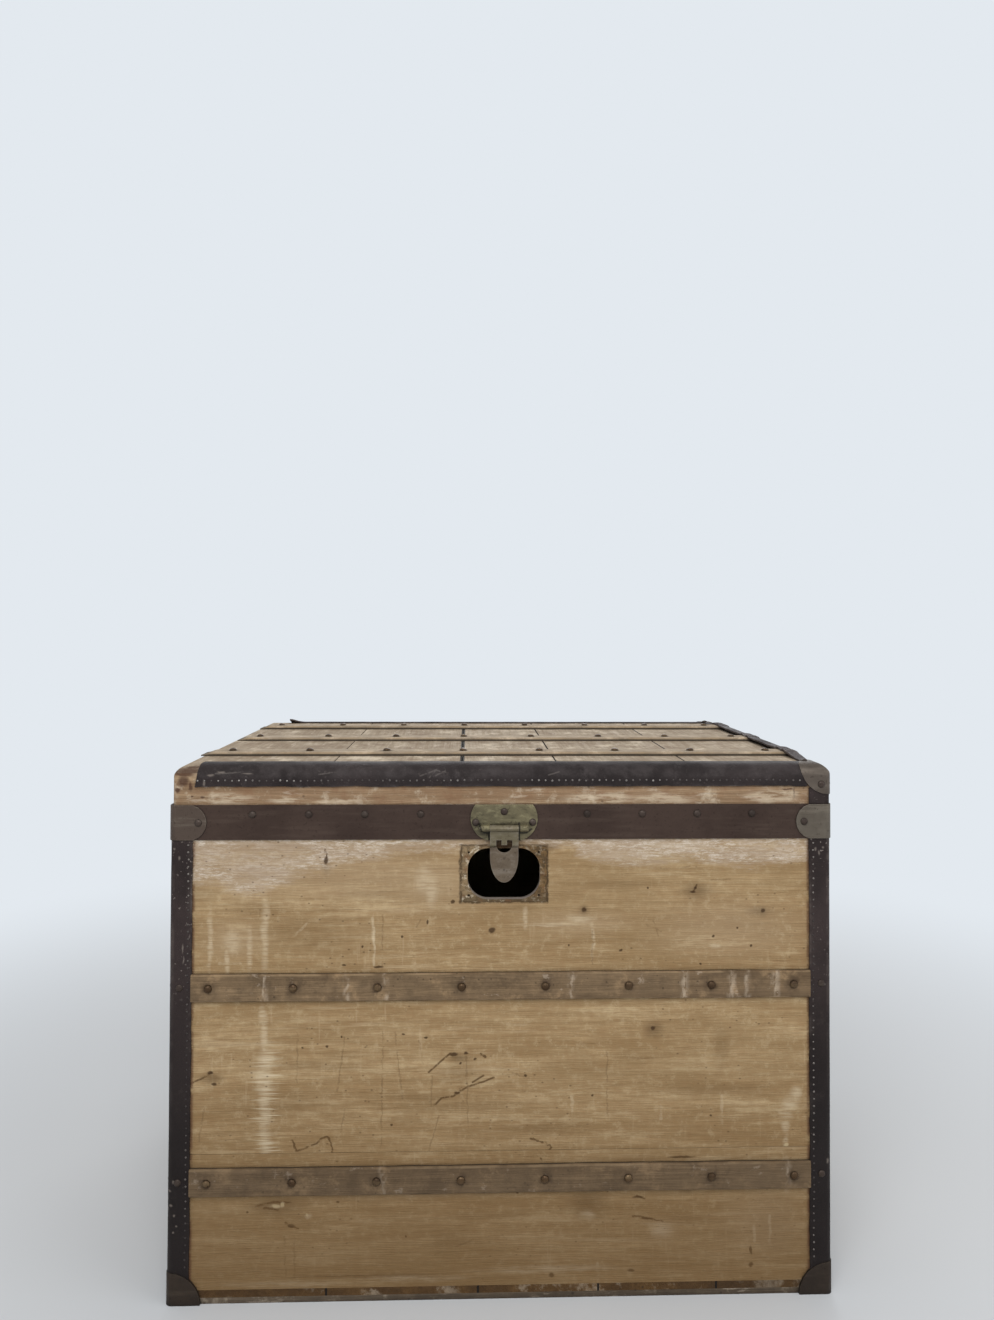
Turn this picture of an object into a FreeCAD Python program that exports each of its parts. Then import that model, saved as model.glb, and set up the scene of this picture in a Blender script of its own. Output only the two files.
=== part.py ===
"""Flat-topped wooden travel trunk with slats, bound edges, a hasp and stop hinges.

Millimetres. +Z is up, the front faces -Y, and the origin is on the floor under the middle.
"""
import FreeCAD, Part
import math
import os

# Carcass
case_width = 888.0
case_depth = 596.0
case_height = 613.3
wall = 12.0
corner_round = 5.0
bottom_thick = 10.0
runner_height = 8.0
runner_width = 36.0
board_gap = 0.4
upper_slat_share = 0.6807
lower_slat_share = 0.2622
lower_joint_share = 0.3209
bottom_seam_shares = (-0.53, -0.074, 0.29, 0.65)

# Lid
lid_gap = 0.4
lid_height = 98.6
lid_wall = 10.0
lid_board = 10.0
lid_board_gap = 1.4
edge_round = 18.0
lid_slat_pitch = 181.0
lid_slat_end = 9.0
middle_slat_loss = 8.0
back_slat_loss = 5.0
lid_seam_shares = (-0.53, -0.129, 0.167, 0.577)

# Slats and nails
slat_width = 36.0
slat_thick = 6.0
slat_round = 2.0
slat_nail_count = 8
side_nail_count = 5
nail_end_margin = 23.0
nail_radius = 5.6
nail_crown_radius = 2.9
nail_height = 3.4
nail_sides = 6
rivet_radius = 5.0
rivet_crown_radius = 2.8
rivet_height = 2.4

# Bound edges and pressed corners
binding = 2.2
binding_flange = 29.5
binding_cut = 31.5
back_binding_cut = 50.0
binding_corner_gap = 3.0
binding_lift = 1.5
binding_rivet_inset = 11.5
cap_thick = 1.3
lid_cap_radius = 39.0
bottom_cap_radius = 43.0
cap_rivet_inset = 11.0
cap_rivet_drop = 25.0
band = 2.5
band_width = 46.6
band_rivet_drop = 12.5
band_rivet_margin = 106.5
band_rivet_shares = (1 / 3, 5 / 9, 7 / 9, 1)
side_band_rivet_count = 6
bracket = 1.5
bracket_straight = 28.0
bracket_reach = 46.0
bracket_rivet_inset = 35.0

# Rim lip and lining
lip_thick = 5.0
lip_depth = 11.0
lip_rise = 9.0
lining = 0.8
lid_lining_clear = 2.0

# Lock place
lock_drop = 46.8
lock_hole_width = 98.0
lock_hole_height = 69.0
lock_hole_round = 28.0
lock_seat_width = 119.6
lock_seat_height = 80.0
lock_seat_depth = 0.8
lock_nail_span_x = 95.0
lock_nail_span_z = 58.0
lock_nail_radius = 1.5

# Hasp
pin_clear = 0.05
hasp_plate = 1.6
hasp_top_half = 39.0
hasp_side_half = 45.0
hasp_low_half = 24.0
hasp_plate_height = 48.0
hasp_plate_drop = 1.0
hasp_axis_rise = 16.0
hasp_side_rise = 23.0
hasp_rivet_inset = 6.5
hasp_top_rivet_drop = 9.5
hasp_knuckle = 4.6
hasp_knuckle_clear = 0.5
hasp_pin_radius = 2.0
hasp_pin_end = 1.0
hasp_barrel_half = 32.5
hasp_side_clear = 0.4
strap_width = 38.2
strap_thick = 2.2
strap_length = 73.0
strap_taper = 34.0
strap_taper_steps = 14
strap_jog_start = 22.5
strap_jog_end = 26.5
strap_jog = 3.6
strap_eye_width = 21.6
strap_eye_top = 15.4
strap_eye_height = 17.8
strap_tab_width = 7.4
strap_tab_length = 6.6
staple_top = 41.5
staple_height = 16.0
staple_width = 5.0
staple_depth = 3.8
staple_bar = 4.0

# Stop hinges
hinge_count = 3
hinge_end_margin = 150.0
hinge_width = 64.0
hinge_lid_knuckle = 22.0
hinge_knuckle = 5.0
hinge_pin_radius = 2.5
hinge_leaf = 2.5
hinge_back_clear = 0.5
hinge_case_leaf = 50.0
hinge_lid_leaf = 40.0
hinge_leaf_lift = 6.5
hinge_web = 9.0
hinge_side_clear = 0.4
hinge_rivet_inset = 16.0
hinge_rivet_end = 12.0
stop_reach = 2.2
stop_top = 1.4
stop_depth = 5.0

# Side handles
handle_axis_drop = 61.0
handle_span = 112.0
handle_drop = 58.0
handle_bar = 4.0
handle_bend = 16.0
handle_elbow = 8.0
handle_bend_steps = 3
handle_stand = 8.0
handle_eye = 7.0
handle_eye_width = 13.0
handle_eye_clear = 0.4
handle_plate = 2.5
handle_plate_width = 30.0
handle_plate_height = 44.0
handle_rivet_inset = 8.0

# Cuts run past the faces by this much
overrun = 5.0

# Rods, lobes and arcs are made of this many short flats
rod_sides = 12
lobe_sides = 24
arc_steps = 8

# Places worked out from the sizes above
half_width = case_width / 2
half_depth = case_depth / 2
bottom_top = runner_height + bottom_thick
upper_slat_z = case_height * upper_slat_share
lower_slat_z = case_height * lower_slat_share
lower_joint_z = case_height * lower_joint_share
lid_bottom = case_height + lid_gap
lid_top = lid_bottom + lid_height
lid_board_low = lid_top - lid_board
flange_in = binding_flange - binding
band_top = lid_bottom + band_width
lock_z = case_height - lock_drop
hasp_y = -(half_depth + band + hasp_plate + hasp_knuckle + hasp_knuckle_clear)
hasp_z = lid_bottom + hasp_axis_rise
hinge_y = half_depth + band + hinge_knuckle + hinge_back_clear
hinge_z = case_height + lid_gap / 2
handle_z = case_height - handle_axis_drop
eye_start = handle_span / 2 + handle_elbow + handle_eye_clear
cap_face = binding + cap_thick

X_AXIS = FreeCAD.Vector(1, 0, 0)
Y_AXIS = FreeCAD.Vector(0, 1, 0)
Z_AXIS = FreeCAD.Vector(0, 0, 1)
ORIGIN = FreeCAD.Vector(0, 0, 0)

# Each wall: the way it faces, half its length, and its distance from the middle
WALLS = {
    "front": (-Y_AXIS, half_width, half_depth),
    "back": (Y_AXIS, half_width, half_depth),
    "left": (-X_AXIS, half_depth, half_width),
    "right": (X_AXIS, half_depth, half_width),
}
CORNERS = {
    "front_left": (-1, -1),
    "front_right": (1, -1),
    "back_left": (-1, 1),
    "back_right": (1, 1),
}


def vec(x, y, z):
    return FreeCAD.Vector(x, y, z)


def box(x, y, z):
    """A block between the pairs x, y and z, given in any order."""
    low = vec(min(x), min(y), min(z))
    return Part.makeBox(max(x) - low.x, max(y) - low.y, max(z) - low.z, low)


def edges_along(shape, axis):
    """The straight edges that run along an axis."""
    straight = [e for e in shape.Edges if isinstance(e.Curve, Part.Line)]
    return [e for e in straight if e.Curve.Direction.cross(axis).Length < e.Tolerance]


def top_edges(shape, axis):
    top = shape.BoundBox.ZMax
    return [e for e in edges_along(shape, axis) if e.CenterOfMass.z > top - e.Tolerance]


def union(shapes):
    first, *rest = shapes
    return first.multiFuse(rest).removeSplitter() if rest else first


def turned(shape, facing):
    """A copy of a front piece, turned about the middle to a wall that faces another way."""
    copy = shape.copy()
    copy.rotate(ORIGIN, Z_AXIS, math.degrees(math.atan2(facing.x, -facing.y)))
    return copy


def save(name, *shapes):
    """Write one sub-part, whose separate pieces stay separate solids."""
    solids = [solid for shape in shapes for solid in shape.Solids]
    node = Part.makeCompound(solids) if len(solids) > 1 else solids[0]
    node.exportStep(f"parts/{name}.step")


def flat_face(corners):
    return Part.Face(Part.makePolygon(corners + corners[:1]))


def profile(points, axis, start, length):
    """A flat outline pushed along an axis. A triple (point, via, point) makes an arc."""
    corners = []
    for begin, via, end in points:
        corners += [begin] if via is None else Part.Arc(begin, via, end).discretize(arc_steps + 1)[:-1]
    face = flat_face(corners)
    face.translate(axis * start)
    return face.extrude(axis * length)


def polygon(points, axis, start, length):
    return profile([(point, None, None) for point in points], axis, start, length)


def ring(radius, sides, height):
    """The corners of a regular outline about Z."""
    turns = [2 * math.pi * i / sides for i in range(sides)]
    return [vec(radius * math.cos(t), radius * math.sin(t), height) for t in turns]


def rod(radius, start, end, sides=rod_sides):
    """A bar whose narrow flats pass for round."""
    axis = end - start
    bar = flat_face(ring(radius, sides, 0)).extrude(Z_AXIS * axis.Length)
    bar.Placement = FreeCAD.Placement(start, FreeCAD.Rotation(Z_AXIS, axis))
    return bar


def bore(radius, start, end):
    """A cut whose flats clear a rod of this radius."""
    return rod((radius + pin_clear) / math.cos(math.pi / rod_sides), start, end)


def case_block(offset, low, high):
    """The case's outer form, grown by an offset."""
    x, y = half_width + offset, half_depth + offset
    block = box((-x, x), (-y, y), (low, high))
    return block.makeFillet(corner_round + offset, edges_along(block, Z_AXIS))


def lid_block(offset):
    """The lid's outer form, grown by an offset, with its upper edges rounded over."""
    x, y = half_width + offset, half_depth + offset
    block = box((-x, x), (-y, y), (lid_bottom, lid_top + offset))
    along_x = block.makeFillet(edge_round + offset, top_edges(block, X_AXIS))
    along_y = block.makeFillet(edge_round + offset, top_edges(block, Y_AXIS))
    upright = block.makeFillet(corner_round + offset, edges_along(block, Z_AXIS))
    return along_x.common(along_y).common(upright)


def head(place, normal, radius, crown, height):
    """A faceted nail or rivet head that sits on a face."""
    foot = ring(radius, nail_sides, 0)
    top = ring(crown, nail_sides, height)
    sides = [[foot[i - 1], foot[i], top[i], top[i - 1]] for i in range(nail_sides)]
    shell = Part.makeShell([flat_face(corners) for corners in [foot[::-1], top] + sides])
    shell.sewShape()
    shape = Part.makeSolid(shell)
    shape.Placement = FreeCAD.Placement(place, FreeCAD.Rotation(Z_AXIS, normal))
    return shape


def nail(place, normal):
    return head(place, normal, nail_radius, nail_crown_radius, nail_height)


def rivet(place, normal):
    return head(place, normal, rivet_radius, rivet_crown_radius, rivet_height)


def spread(half_length, margin, count):
    """Even places along a length, with a margin at each end."""
    reach = half_length - margin
    return [-reach + 2 * reach * i / (count - 1) for i in range(count)]


def seams(shares, gap):
    """The board spans between seams at shares of the half width."""
    cuts = [share * half_width for share in shares]
    starts = [-half_width - overrun] + [cut + gap / 2 for cut in cuts]
    ends = [cut - gap / 2 for cut in cuts] + [half_width + overrun]
    return zip(starts, ends)


def round_slot(width, height, radius, middle_z, start, length):
    """A rounded rectangle on the front, pushed along Y."""
    z = (middle_z - height / 2, middle_z + height / 2)
    slot = box((-width / 2, width / 2), (start, start + length), z)
    return slot.makeFillet(radius, edges_along(slot, Y_AXIS))


# Case boards
def lock_cuts():
    """The lock's through hole, the shallow seat of its plate and the four nail holes."""
    front = -half_depth - overrun
    hole = round_slot(lock_hole_width, lock_hole_height, lock_hole_round, lock_z, front, wall + overrun * 2)
    seat = box(
        (-lock_seat_width / 2, lock_seat_width / 2),
        (front, -half_depth + lock_seat_depth),
        (lock_z - lock_seat_height / 2, lock_z + lock_seat_height / 2),
    )
    nails = []
    for side in (-1, 1):
        for level in (-1, 1):
            x = side * lock_nail_span_x / 2
            z = lock_z + level * lock_nail_span_z / 2
            place = vec(x, front, z)
            nails.append(Part.makeCylinder(lock_nail_radius, wall + overrun * 2, place, Y_AXIS))
    return union([hole, seat] + nails)


def wall_boards(wall_name):
    """Three boards, edge to edge, whose upper joint lies behind the upper slat."""
    facing, half_length, out = WALLS[wall_name]
    ends = half_length if wall_name in ("front", "back") else half_length - wall
    levels = (bottom_top, lower_joint_z, upper_slat_z, case_height)
    form = case_block(0, 0, case_height)
    boards = []
    for low, high in zip(levels, levels[1:]):
        top = high if high == case_height else high - board_gap
        board = box((-ends, ends), (-out, -out + wall), (low, top))
        boards.append(turned(board, facing).common(form))
    return boards


def bottom_boards():
    form = case_block(0, runner_height, bottom_top)
    depth = (-half_depth - overrun, half_depth + overrun)
    spans = seams(bottom_seam_shares, board_gap)
    return [form.common(box(span, depth, (runner_height, bottom_top))) for span in spans]


def bottom_runners(caps):
    """Edge runners at the front and back, rebated for the caps, and one in the middle."""
    form = case_block(0, 0, runner_height)
    width = (-half_width - overrun, half_width + overrun)
    height = (0, runner_height)
    runners = []
    for side in (-1, 1):
        depth = (side * (half_depth + overrun), side * (half_depth - runner_width))
        runners.append(form.common(box(width, depth, height)).cut(caps))
    middle = (-half_width + flange_in, half_width - flange_in)
    runners.append(box(middle, (-runner_width / 2, runner_width / 2), height))
    return runners


def wall_slat(wall_name, middle_z):
    """A slat nailed flat on a wall, between the corner bindings."""
    facing, half_length, out = WALLS[wall_name]
    ends = half_length - flange_in
    half = slat_width / 2
    slat = box((-ends, ends), (-out - slat_thick, -out), (middle_z - half, middle_z + half))
    outer = [e for e in edges_along(slat, X_AXIS) if e.CenterOfMass.y < -out - slat_thick / 2]
    return turned(slat.makeFillet(slat_round, outer), facing)


# Bound edges of the case
def corner_region(corner, low, high):
    """A block over one upright edge, as wide as a binding's two flanges."""
    sx, sy = CORNERS[corner]
    x = (sx * (half_width + overrun), sx * (half_width - flange_in))
    y = (sy * (half_depth + overrun), sy * (half_depth - flange_in))
    return box(x, y, (low, high))


def case_corner_binding(corner):
    skin = case_block(binding, cap_thick, case_height).cut(case_block(0, 0, case_height + overrun))
    return skin.common(corner_region(corner, 0, case_height))


def bottom_side_binding(side):
    """An angle strip under the edge of a side, between the front and back runners."""
    outer = side * (half_width + binding)
    low = runner_height - binding
    upright_reach = half_depth - flange_in
    foot_reach = half_depth - runner_width
    upright_z = (runner_height, low + binding_flange)
    upright = box((outer, side * half_width), (-upright_reach, upright_reach), upright_z)
    foot = box((outer, side * (half_width - flange_in)), (-foot_reach, foot_reach), (low, runner_height))
    return union([upright, foot])


def bottom_back_binding():
    reach = half_width - flange_in
    z = (binding_lift, binding_lift + binding_flange)
    return box((-reach, reach), (half_depth, half_depth + binding), z)


def lobed(skin, corner, z, radius):
    """The stretch of a skin about a corner, with a round lobe on each of the three faces."""
    sx, sy = CORNERS[corner]
    middle = vec(sx * half_width, sy * half_depth, z)
    for axis in (X_AXIS, Y_AXIS, Z_AXIS):
        skin = skin.common(rod(radius, middle - axis * radius, middle + axis * radius, lobe_sides))
    return skin


def bottom_cap(corner, bindings):
    """A pressed three-lobed cap that wraps a bottom corner and the bindings there."""
    skin = case_block(cap_face, 0, bottom_cap_radius + overrun).cut(case_block(0, cap_thick, case_height))
    return lobed(skin, corner, 0, bottom_cap_radius).cut(bindings)


# Rim and lining of the case
def rim_lips():
    """Strips inside the rim, front and sides, that the lid closes over."""
    z = (case_height - lip_depth, case_height + lip_rise)
    x = half_width - wall
    y = half_depth - wall
    front = box((-x, x), (-y, -y + lip_thick), z)
    sides = [box((s * x, s * (x - lip_thick)), (-y + lip_thick, y), z) for s in (-1, 1)]
    return front, sides[0], sides[1]


def case_lining():
    """Thin sheets on the inner faces, cut out round the lock's place."""
    x = half_width - wall
    y = half_depth - wall
    floor = bottom_top + lining
    z = (floor, case_height - lip_depth)
    front = box((-x, x), (-y, -y + lining), z)
    lock_x = (-lock_seat_width / 2, lock_seat_width / 2)
    lock_place = (lock_z - lock_seat_height / 2, case_height)
    front = front.cut(box(lock_x, (-y - overrun, -y + overrun), lock_place))
    back = box((-x, x), (y - lining, y), z)
    sides = [box((s * x, s * (x - lining)), (-y + lining, y - lining), z) for s in (-1, 1)]
    return [front, back, box((-x, x), (-y, y), (bottom_top, floor))] + sides


# Lid
def lid_rails():
    form = lid_block(0)
    z = (lid_bottom, lid_board_low)
    x_out, x_in = half_width + overrun, half_width - lid_wall
    y_out, y_in = half_depth + overrun, half_depth - lid_wall
    rails = {}
    for name, side in (("front", -1), ("back", 1)):
        rails[name] = form.common(box((-x_out, x_out), (side * y_out, side * y_in), z))
    for name, side in (("left", -1), ("right", 1)):
        rails[name] = form.common(box((side * x_out, side * x_in), (-y_in, y_in), z))
    return rails


def lid_boards():
    form = lid_block(0)
    depth = (-half_depth - overrun, half_depth + overrun)
    spans = seams(lid_seam_shares, lid_board_gap)
    return [form.common(box(span, depth, (lid_board_low, lid_top))) for span in spans]


def lid_slat(middle_y, left_loss):
    """A slat across the lid whose ends run out over the rounded edges; the left end may be broken short."""
    ends = half_width - lid_slat_end
    half = slat_width / 2
    slat = box((left_loss - ends, ends), (middle_y - half, middle_y + half), (lid_top, lid_top + slat_thick))
    slat = slat.makeFillet(slat_round, top_edges(slat, X_AXIS))
    return slat.common(lid_block(slat_thick))


def lid_bands():
    """A flat band round the lid's lower edge, in four lengths."""
    z = (lid_bottom, band_top)
    skin = lid_block(band).cut(lid_block(0))
    x, y = half_width + band, half_depth + band
    y_joint = half_depth - corner_round
    bands = {}
    for name, side in (("front", -1), ("back", 1)):
        bands[name] = skin.common(box((-x, x), (side * y, side * y_joint), z))
    for name, side in (("left", -1), ("right", 1)):
        bands[name] = skin.common(box((side * x, 0), (-y_joint, y_joint), z))
    return bands


def bracket_tongue(half_length, out, side):
    """The outline of one leg of a band bracket, straight at the corner and round at its tip."""
    end = side * (half_length + overrun)
    shoulder = side * (half_length - bracket_straight)
    tip = side * (half_length - bracket_reach)
    low, high = lid_bottom, band_top
    corners = [vec(end, 0, low), vec(shoulder, 0, low), vec(shoulder, 0, high), vec(end, 0, high)]
    outline = [
        (corners[0], None, corners[1]),
        (corners[1], vec(tip, 0, (low + high) / 2), corners[2]),
        (corners[2], None, corners[3]),
        (corners[3], None, corners[0]),
    ]
    return profile(outline, Y_AXIS, -out - overrun, overrun + corner_round)


def band_bracket(corner):
    """A bent plate over the band's joint at a corner, with a tongue on each face."""
    sx, sy = CORNERS[corner]
    skin = lid_block(band + bracket).cut(lid_block(band))
    ahead = bracket_tongue(half_width, half_depth, sx * -sy)
    tongues = [turned(ahead, sy * Y_AXIS)]
    beside = bracket_tongue(half_depth, half_width, sy * sx)
    tongues.append(turned(beside, sx * X_AXIS))
    return skin.common(union(tongues))


def lid_edge_binding(x, y):
    """Angle strip wrapped over a length of the lid's upper edge."""
    skin = lid_block(binding).cut(lid_block(0))
    return skin.common(box(x, y, (lid_top - flange_in, lid_top + binding + overrun)))


def lid_right_binding(slats):
    """The right-hand strip, raised over each slat's end."""
    y = half_depth - flange_in - binding_corner_gap
    strip = lid_edge_binding((half_width - flange_in, half_width + overrun), (-y, y))
    bumps = []
    for slat in slats:
        bound = slat.BoundBox
        x = (half_width - flange_in, bound.XMax + binding)
        bump_y = (bound.YMin - binding, bound.YMax + binding)
        bumps.append(box(x, bump_y, (lid_top, bound.ZMax + binding)))
    return union([strip] + bumps).cut(lid_block(0)).cut(Part.makeCompound(slats))


def lid_corner_binding(corner):
    """The short upright strip between the band and a lid cap."""
    skin = lid_block(binding).cut(lid_block(0))
    return skin.common(corner_region(corner, band_top, lid_top - flange_in - binding_corner_gap))


def lid_cap(corner, bindings):
    """A pressed three-lobed cap over an upper corner of the lid."""
    skin = lid_block(cap_face).cut(lid_block(0))
    return lobed(skin, corner, lid_top, lid_cap_radius).cut(bindings)


def lid_lining():
    x = half_width - lid_wall
    y = half_depth - lid_wall
    z = (lid_bottom + lip_rise + lid_lining_clear, lid_board_low - lining)
    top = box((-x, x), (-y, y), (lid_board_low - lining, lid_board_low))
    ends = [box((-x, x), (s * y, s * (y - lining)), z) for s in (-1, 1)]
    sides = [box((s * x, s * (x - lining)), (-y + lining, y - lining), z) for s in (-1, 1)]
    return [top] + ends + sides


# Hasp
def hasp_plate_body():
    """The plate on the band with the two outer knuckles of the hasp's hinge."""
    low = lid_bottom - hasp_plate_drop
    high = low + hasp_plate_height
    side = lid_bottom + hasp_side_rise
    points = [vec(-hasp_top_half, 0, high), vec(hasp_top_half, 0, high)]
    points += [vec(hasp_low_half, 0, low), vec(-hasp_low_half, 0, low)]
    outline = [
        (points[0], None, points[1]),
        (points[1], vec(hasp_side_half, 0, side), points[2]),
        (points[2], None, points[3]),
        (points[3], vec(-hasp_side_half, 0, side), points[0]),
    ]
    face = -half_depth - band
    plate = profile(outline, Y_AXIS, face - hasp_plate, hasp_plate)
    pieces = [plate]
    for s in (-1, 1):
        inner = s * (strap_width / 2 + hasp_side_clear)
        outer = s * hasp_barrel_half
        pieces.append(rod(hasp_knuckle, vec(inner, hasp_y, hasp_z), vec(outer, hasp_y, hasp_z)))
        web_z = (hasp_z - hasp_knuckle, hasp_z + hasp_knuckle)
        pieces.append(box((inner, outer), (hasp_y, face - hasp_plate), web_z))
    reach = vec(hasp_barrel_half + overrun, 0, 0)
    middle = vec(0, hasp_y, hasp_z)
    return union(pieces).cut(bore(hasp_pin_radius, middle - reach, middle + reach))


def hasp_pin():
    reach = vec(hasp_barrel_half + hasp_pin_end, 0, 0)
    middle = vec(0, hasp_y, hasp_z)
    return rod(hasp_pin_radius, middle - reach, middle + reach)


def strap_eye():
    """The D-shaped eye in the strap, flat at its top, with a tab left standing in it."""
    top = hasp_z - strap_eye_top
    half = strap_eye_width / 2
    low = top - strap_eye_height
    spring = low + half
    outline = [
        (vec(-half, 0, top), None, vec(half, 0, top)),
        (vec(half, 0, top), None, vec(half, 0, spring)),
        (vec(half, 0, spring), vec(0, 0, low), vec(-half, 0, spring)),
        (vec(-half, 0, spring), None, vec(-half, 0, top)),
    ]
    depth = hasp_knuckle * 2 + strap_jog
    eye = profile(outline, Y_AXIS, hasp_y - hasp_knuckle, depth)
    tab_x = (-strap_tab_width / 2, strap_tab_width / 2)
    tab_y = (hasp_y - hasp_knuckle - overrun, hasp_y + depth + overrun)
    return eye.cut(box(tab_x, tab_y, (top - strap_tab_length, top + overrun)))


def hasp_strap():
    """The hanging strap: a rolled knuckle, a jog towards the case, an eye and a staple."""
    half = strap_width / 2
    front = hasp_y - strap_thick / 2
    levels = [hasp_z, hasp_z - strap_jog_start, hasp_z - strap_jog_end, hasp_z - strap_length]
    steps = [0, 0, strap_jog, strap_jog]
    outer = [vec(0, front + step, z) for step, z in zip(steps, levels)]
    inner = [point + vec(0, strap_thick, 0) for point in reversed(outer)]
    sheet = polygon(outer + inner, X_AXIS, -half, strap_width)
    outline = [vec(half, 0, hasp_z), vec(-half, 0, hasp_z)]
    for step in range(strap_taper_steps + 1):
        turn = math.pi * step / strap_taper_steps
        drop = strap_length - strap_taper + strap_taper * math.sin(turn)
        outline.append(vec(-half * math.cos(turn), 0, hasp_z - drop))
    sheet = sheet.common(polygon(outline, Y_AXIS, front - overrun, strap_jog + strap_thick + overrun * 2))
    middle = vec(0, hasp_y, hasp_z)
    knuckle = rod(hasp_knuckle, middle - vec(half, 0, 0), middle + vec(half, 0, 0))
    back = front + strap_jog + strap_thick
    staple_x = (-staple_width / 2, staple_width / 2)
    staple_z = (hasp_z - staple_top - staple_height, hasp_z - staple_top)
    staple = box(staple_x, (back, back + staple_depth), staple_z)
    gap_z = (staple_z[0] + staple_bar, staple_z[1] - staple_bar)
    staple = staple.cut(box((-half, half), (back, back + staple_depth - strap_thick), gap_z))
    reach = vec(half + overrun, 0, 0)
    strap = union([knuckle, sheet.cut(strap_eye()), staple])
    return strap.cut(bore(hasp_pin_radius, middle - reach, middle + reach))


# Stop hinges
def hinge_places():
    return spread(half_width, hinge_end_margin, hinge_count)


def hinge_bore(x):
    reach = vec(hinge_width / 2 + overrun, 0, 0)
    middle = vec(x, hinge_y, hinge_z)
    return bore(hinge_pin_radius, middle - reach, middle + reach)


def hinge_arm(face_y, direction, x_start, width):
    """One knuckle and the slanting web that joins it to the leaf on a face."""
    side = hinge_knuckle * math.cos(math.pi / 6)
    near = direction * hinge_knuckle * math.sin(math.pi / 6)
    root = hinge_z + direction * (hinge_leaf_lift + hinge_web)
    foot = hinge_z + direction * hinge_leaf_lift
    points = [
        vec(0, face_y, root),
        vec(0, face_y + hinge_leaf, root),
        vec(0, hinge_y + side, hinge_z + near),
        vec(0, hinge_y - side, hinge_z + near),
        vec(0, face_y, foot),
    ]
    web = polygon(points, X_AXIS, x_start, width)
    start = vec(x_start, hinge_y, hinge_z)
    return [web, rod(hinge_knuckle, start, start + vec(width, 0, 0))]


def case_hinge_leaf(x):
    """The case's leaf, with two knuckles whose lugs stop the opened lid."""
    face = half_depth
    leaf_x = (x - hinge_width / 2, x + hinge_width / 2)
    top = hinge_z - hinge_leaf_lift
    pieces = [box(leaf_x, (face, face + hinge_leaf), (top - hinge_case_leaf, top))]
    width = (hinge_width - hinge_lid_knuckle) / 2 - hinge_side_clear
    for start in (leaf_x[0], leaf_x[1] - width):
        pieces += hinge_arm(face, -1, start, width)
        lug_y = (hinge_y + (hinge_pin_radius + hinge_knuckle) / 2, hinge_y + hinge_knuckle + stop_reach)
        lug_z = (hinge_z + stop_top - stop_depth, hinge_z + stop_top)
        pieces.append(box((start, start + width), lug_y, lug_z))
    return union(pieces).cut(hinge_bore(x))


def lid_hinge_leaf(x):
    """The lid's leaf on the band, with one knuckle between the case's two."""
    face = half_depth + band
    leaf_x = (x - hinge_width / 2, x + hinge_width / 2)
    low = hinge_z + hinge_leaf_lift
    plate = box(leaf_x, (face, face + hinge_leaf), (low, low + hinge_lid_leaf))
    arm = hinge_arm(face, 1, x - hinge_lid_knuckle / 2, hinge_lid_knuckle)
    return union([plate] + arm).cut(hinge_bore(x))


def hinge_pin(x):
    reach = vec(hinge_width / 2, 0, 0)
    middle = vec(x, hinge_y, hinge_z)
    return rod(hinge_pin_radius, middle - reach, middle + reach)


# Side handles, made for the front and turned to the sides
def handle_place(y):
    return vec(y, -half_width - handle_stand, handle_z)


def handle_brackets(facing):
    """Two nailed plates, each with an eye for one end of the bail."""
    brackets = []
    for s in (-1, 1):
        inner = s * eye_start
        outer = inner + s * handle_eye_width
        middle = (inner + outer) / 2
        plate_x = (middle - handle_plate_width / 2, middle + handle_plate_width / 2)
        plate_z = (handle_z - handle_plate_height / 2, handle_z + handle_plate_height / 2)
        plate = box(plate_x, (-half_width - handle_plate, -half_width), plate_z)
        eye = rod(handle_eye, handle_place(inner), handle_place(outer))
        hole = bore(handle_bar, handle_place(inner - s * overrun), handle_place(outer + s * overrun))
        brackets.append(turned(union([plate, eye]).cut(hole), facing))
    return brackets


def bend_points(centre, radius, start, end):
    """Places round a bend in a plane that faces Y, from one angle to another."""
    turns = [start + (end - start) * i / handle_bend_steps for i in range(handle_bend_steps + 1)]
    return [centre + vec(radius * math.cos(t), 0, radius * math.sin(t)) for t in turns]


def handle_bail(facing):
    """A round bar bent to a U, with its ends turned out into the eyes."""
    root = handle_place(0)
    leg_x = handle_span / 2
    end = vec(-eye_start - handle_eye_width, root.y, root.z)
    elbow = vec(-leg_x - handle_elbow, root.y, root.z - handle_elbow)
    turn = vec(-leg_x + handle_bend, root.y, root.z - handle_drop + handle_bend)
    left = [end] + bend_points(elbow, handle_elbow, math.pi / 2, 0)
    left += bend_points(turn, handle_bend, math.pi, math.pi * 3 / 2)
    right = [vec(-point.x, point.y, point.z) for point in reversed(left)]
    section = Part.makePolygon(ring(handle_bar, rod_sides, 0) + ring(handle_bar, rod_sides, 0)[:1])
    section.Placement = FreeCAD.Placement(end, FreeCAD.Rotation(Z_AXIS, X_AXIS))
    mitred = 1
    bail = Part.makePolygon(left + right).makePipeShell([section], True, False, mitred)
    return turned(bail, facing)


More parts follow.
